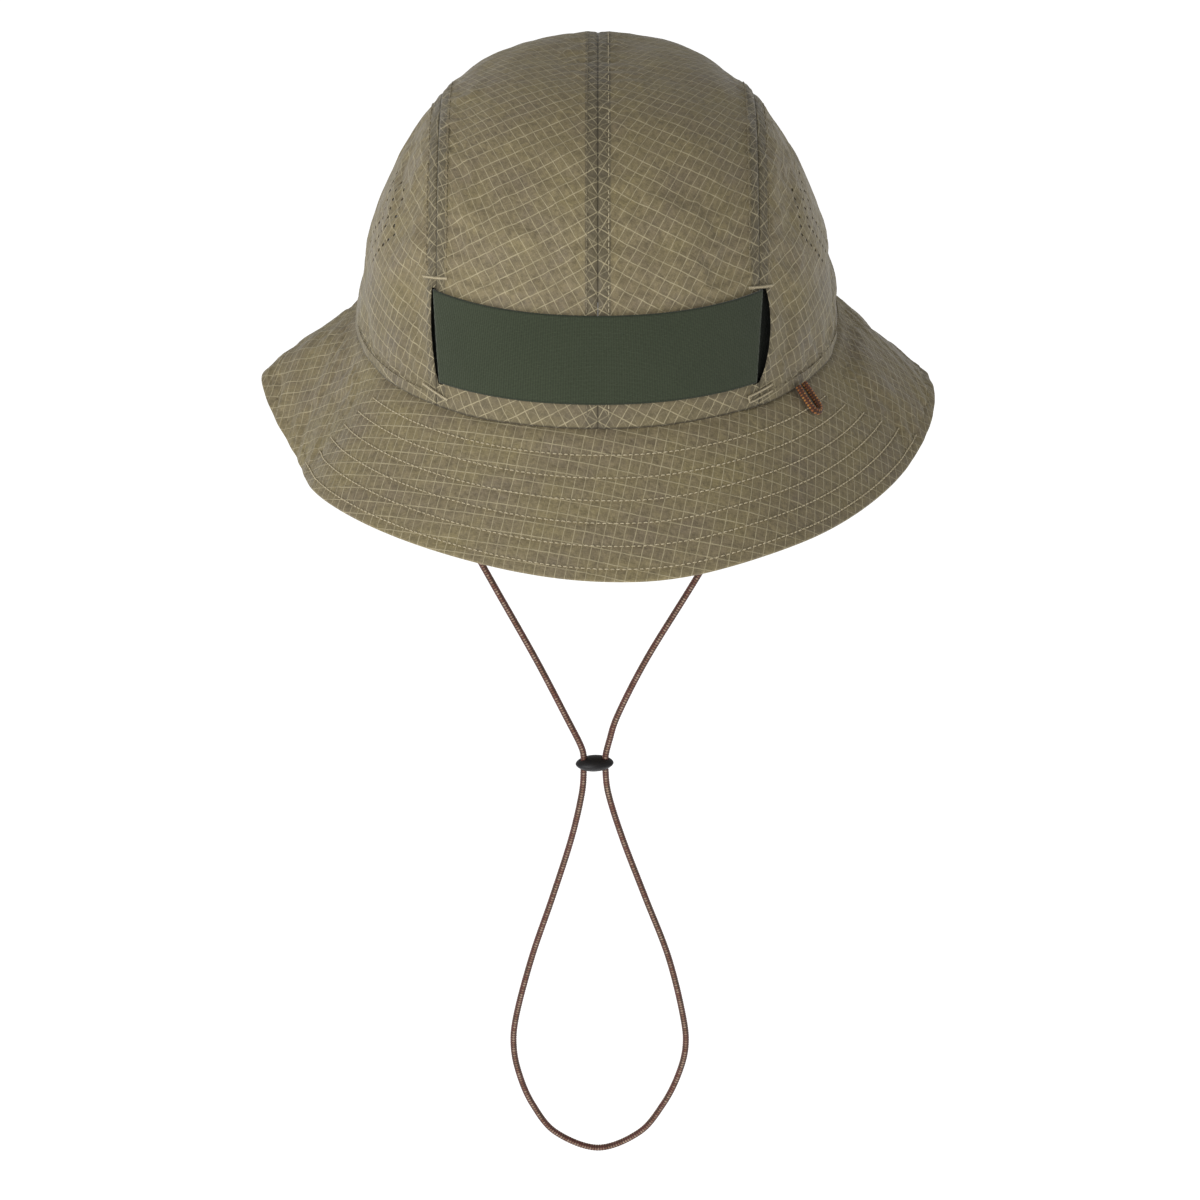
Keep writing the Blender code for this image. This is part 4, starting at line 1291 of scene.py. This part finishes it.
def braided_tube(name, path, radius, material, side_line=(0, 1, 0)):
    """A round braid along a path: its yarns stand up where they cross over."""
    reach = running_length(path[None], 1)[0]
    share = np.linspace(0, 1, BRAID_SIDES + 1)
    winding = reach[:, None] * BRAID_STRANDS / BRAID_PITCH / 2
    right = share[None, :] * BRAID_STRANDS + winding
    left = share[None, :] * BRAID_STRANDS - winding
    bulge = np.abs(np.sin(math.pi * right) * np.sin(math.pi * left))
    size = radius * (0.91 + 0.13 * bulge)
    size[[0, -1]] *= 0.72
    points = path[:, None] + rings_round(path, side_line, share * 2 * math.pi) * size[..., None]
    maps = {"braid": (share[None, :], reach[:, None])}
    faces = grid_faces(len(path), BRAID_SIDES + 1)
    faces.append(list(range(BRAID_SIDES - 1, -1, -1)))
    last = (len(path) - 1) * (BRAID_SIDES + 1)
    faces.append([last + corner for corner in range(BRAID_SIDES)])
    piece = make_piece(name, points, material, maps, faces, 1e-6)
    bm = bmesh.new()
    bm.from_mesh(piece.data)
    bmesh.ops.recalc_face_normals(bm, faces=bm.faces)
    bm.to_mesh(piece.data)
    bm.free()
    return piece


# The last colour is painted shade for the grooves between the yarns.
cord_braid = braid_material("cord_braid", (colour(98, 44, 40), colour(72, 46, 28)),
                            (colour(176, 150, 128), colour(128, 84, 62)), colour(44, 28, 27))
route = [(x / 1000, CORD_Y, z / 1000) for x, z in CORD_ROUTE_MM]
cord_line = smooth_path(route, RING_STEP)
above_stopper = cord_line[:, 2] > STOPPER_CENTRE[2]
first_below = int(np.argmin(above_stopper))
last_below = len(cord_line) - int(np.argmin(above_stopper[::-1]))
leg_span, loop_span = (-0.010, -0.158), (-0.333, -0.170)
runs = [("leg_left", cord_line[:first_below + 1], leg_span),
        ("leg_right", cord_line[last_below - 1:][::-1], leg_span),
        ("loop", cord_line[first_below:last_below], loop_span)]
for word, run, (first, last) in runs:
    cord = braided_tube(f"chin_cord_{word}", run, CORD_RADIUS, cord_braid)
    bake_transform(cord)
    if word == "loop":
        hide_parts("chin_cord")


# Hanging loop: a short doubled end of a brighter orange braid, caught in the seam between the
# crown and the brim, to hang the hat up by.

HANGER_ANGLE = 52.5
HANGER_LENGTH = 0.0105
HANGER_HALF_WIDTH = 0.0026
HANGER_RADIUS = 0.0012

# The last colour is painted shade for the grooves between the yarns.
hanger_braid = braid_material("hanger_braid", (colour(92, 48, 30), colour(70, 42, 24)),
                              (colour(196, 138, 70), colour(150, 84, 44)), colour(40, 26, 22))
hanger_base, hanger_way = oval(HANGER_ANGLE, BRIM_INSET)
hanger_pivot = Vector(hanger_base) + Vector((0, 0, 0.0007)) + Vector(hanger_way) * 0.0022
hanger_along = Vector((-hanger_way[1], hanger_way[0], 0))
hanger_droop = float(brim_shape(np.array(HANGER_ANGLE))[1])
hanger_down = Vector(hanger_way) * math.cos(hanger_droop) - Vector((0, 0, math.sin(hanger_droop)))
straight = HANGER_LENGTH - HANGER_HALF_WIDTH
outline = [(-HANGER_HALF_WIDTH * 0.8, -0.0012), (-HANGER_HALF_WIDTH * 0.9, straight * 0.5)]
outline += [(-HANGER_HALF_WIDTH * 0.85 * math.cos(a), straight + HANGER_HALF_WIDTH * math.sin(a))
            for a in np.linspace(0, math.pi, 7)]
outline += [(HANGER_HALF_WIDTH * 0.9, straight * 0.5), (HANGER_HALF_WIDTH * 0.8, -0.0012)]
hanger_points = [hanger_pivot + hanger_along * along + hanger_down * down for along, down in outline]
hanger_line = smooth_path(hanger_points, RING_STEP)
hanger_up = hanger_along.cross(hanger_down)
hanger = braided_tube("braided_hanging_loop", hanger_line, HANGER_RADIUS, hanger_braid, hanger_up)
place(hanger, "hanging_loop", "cord", "hanging_loop")
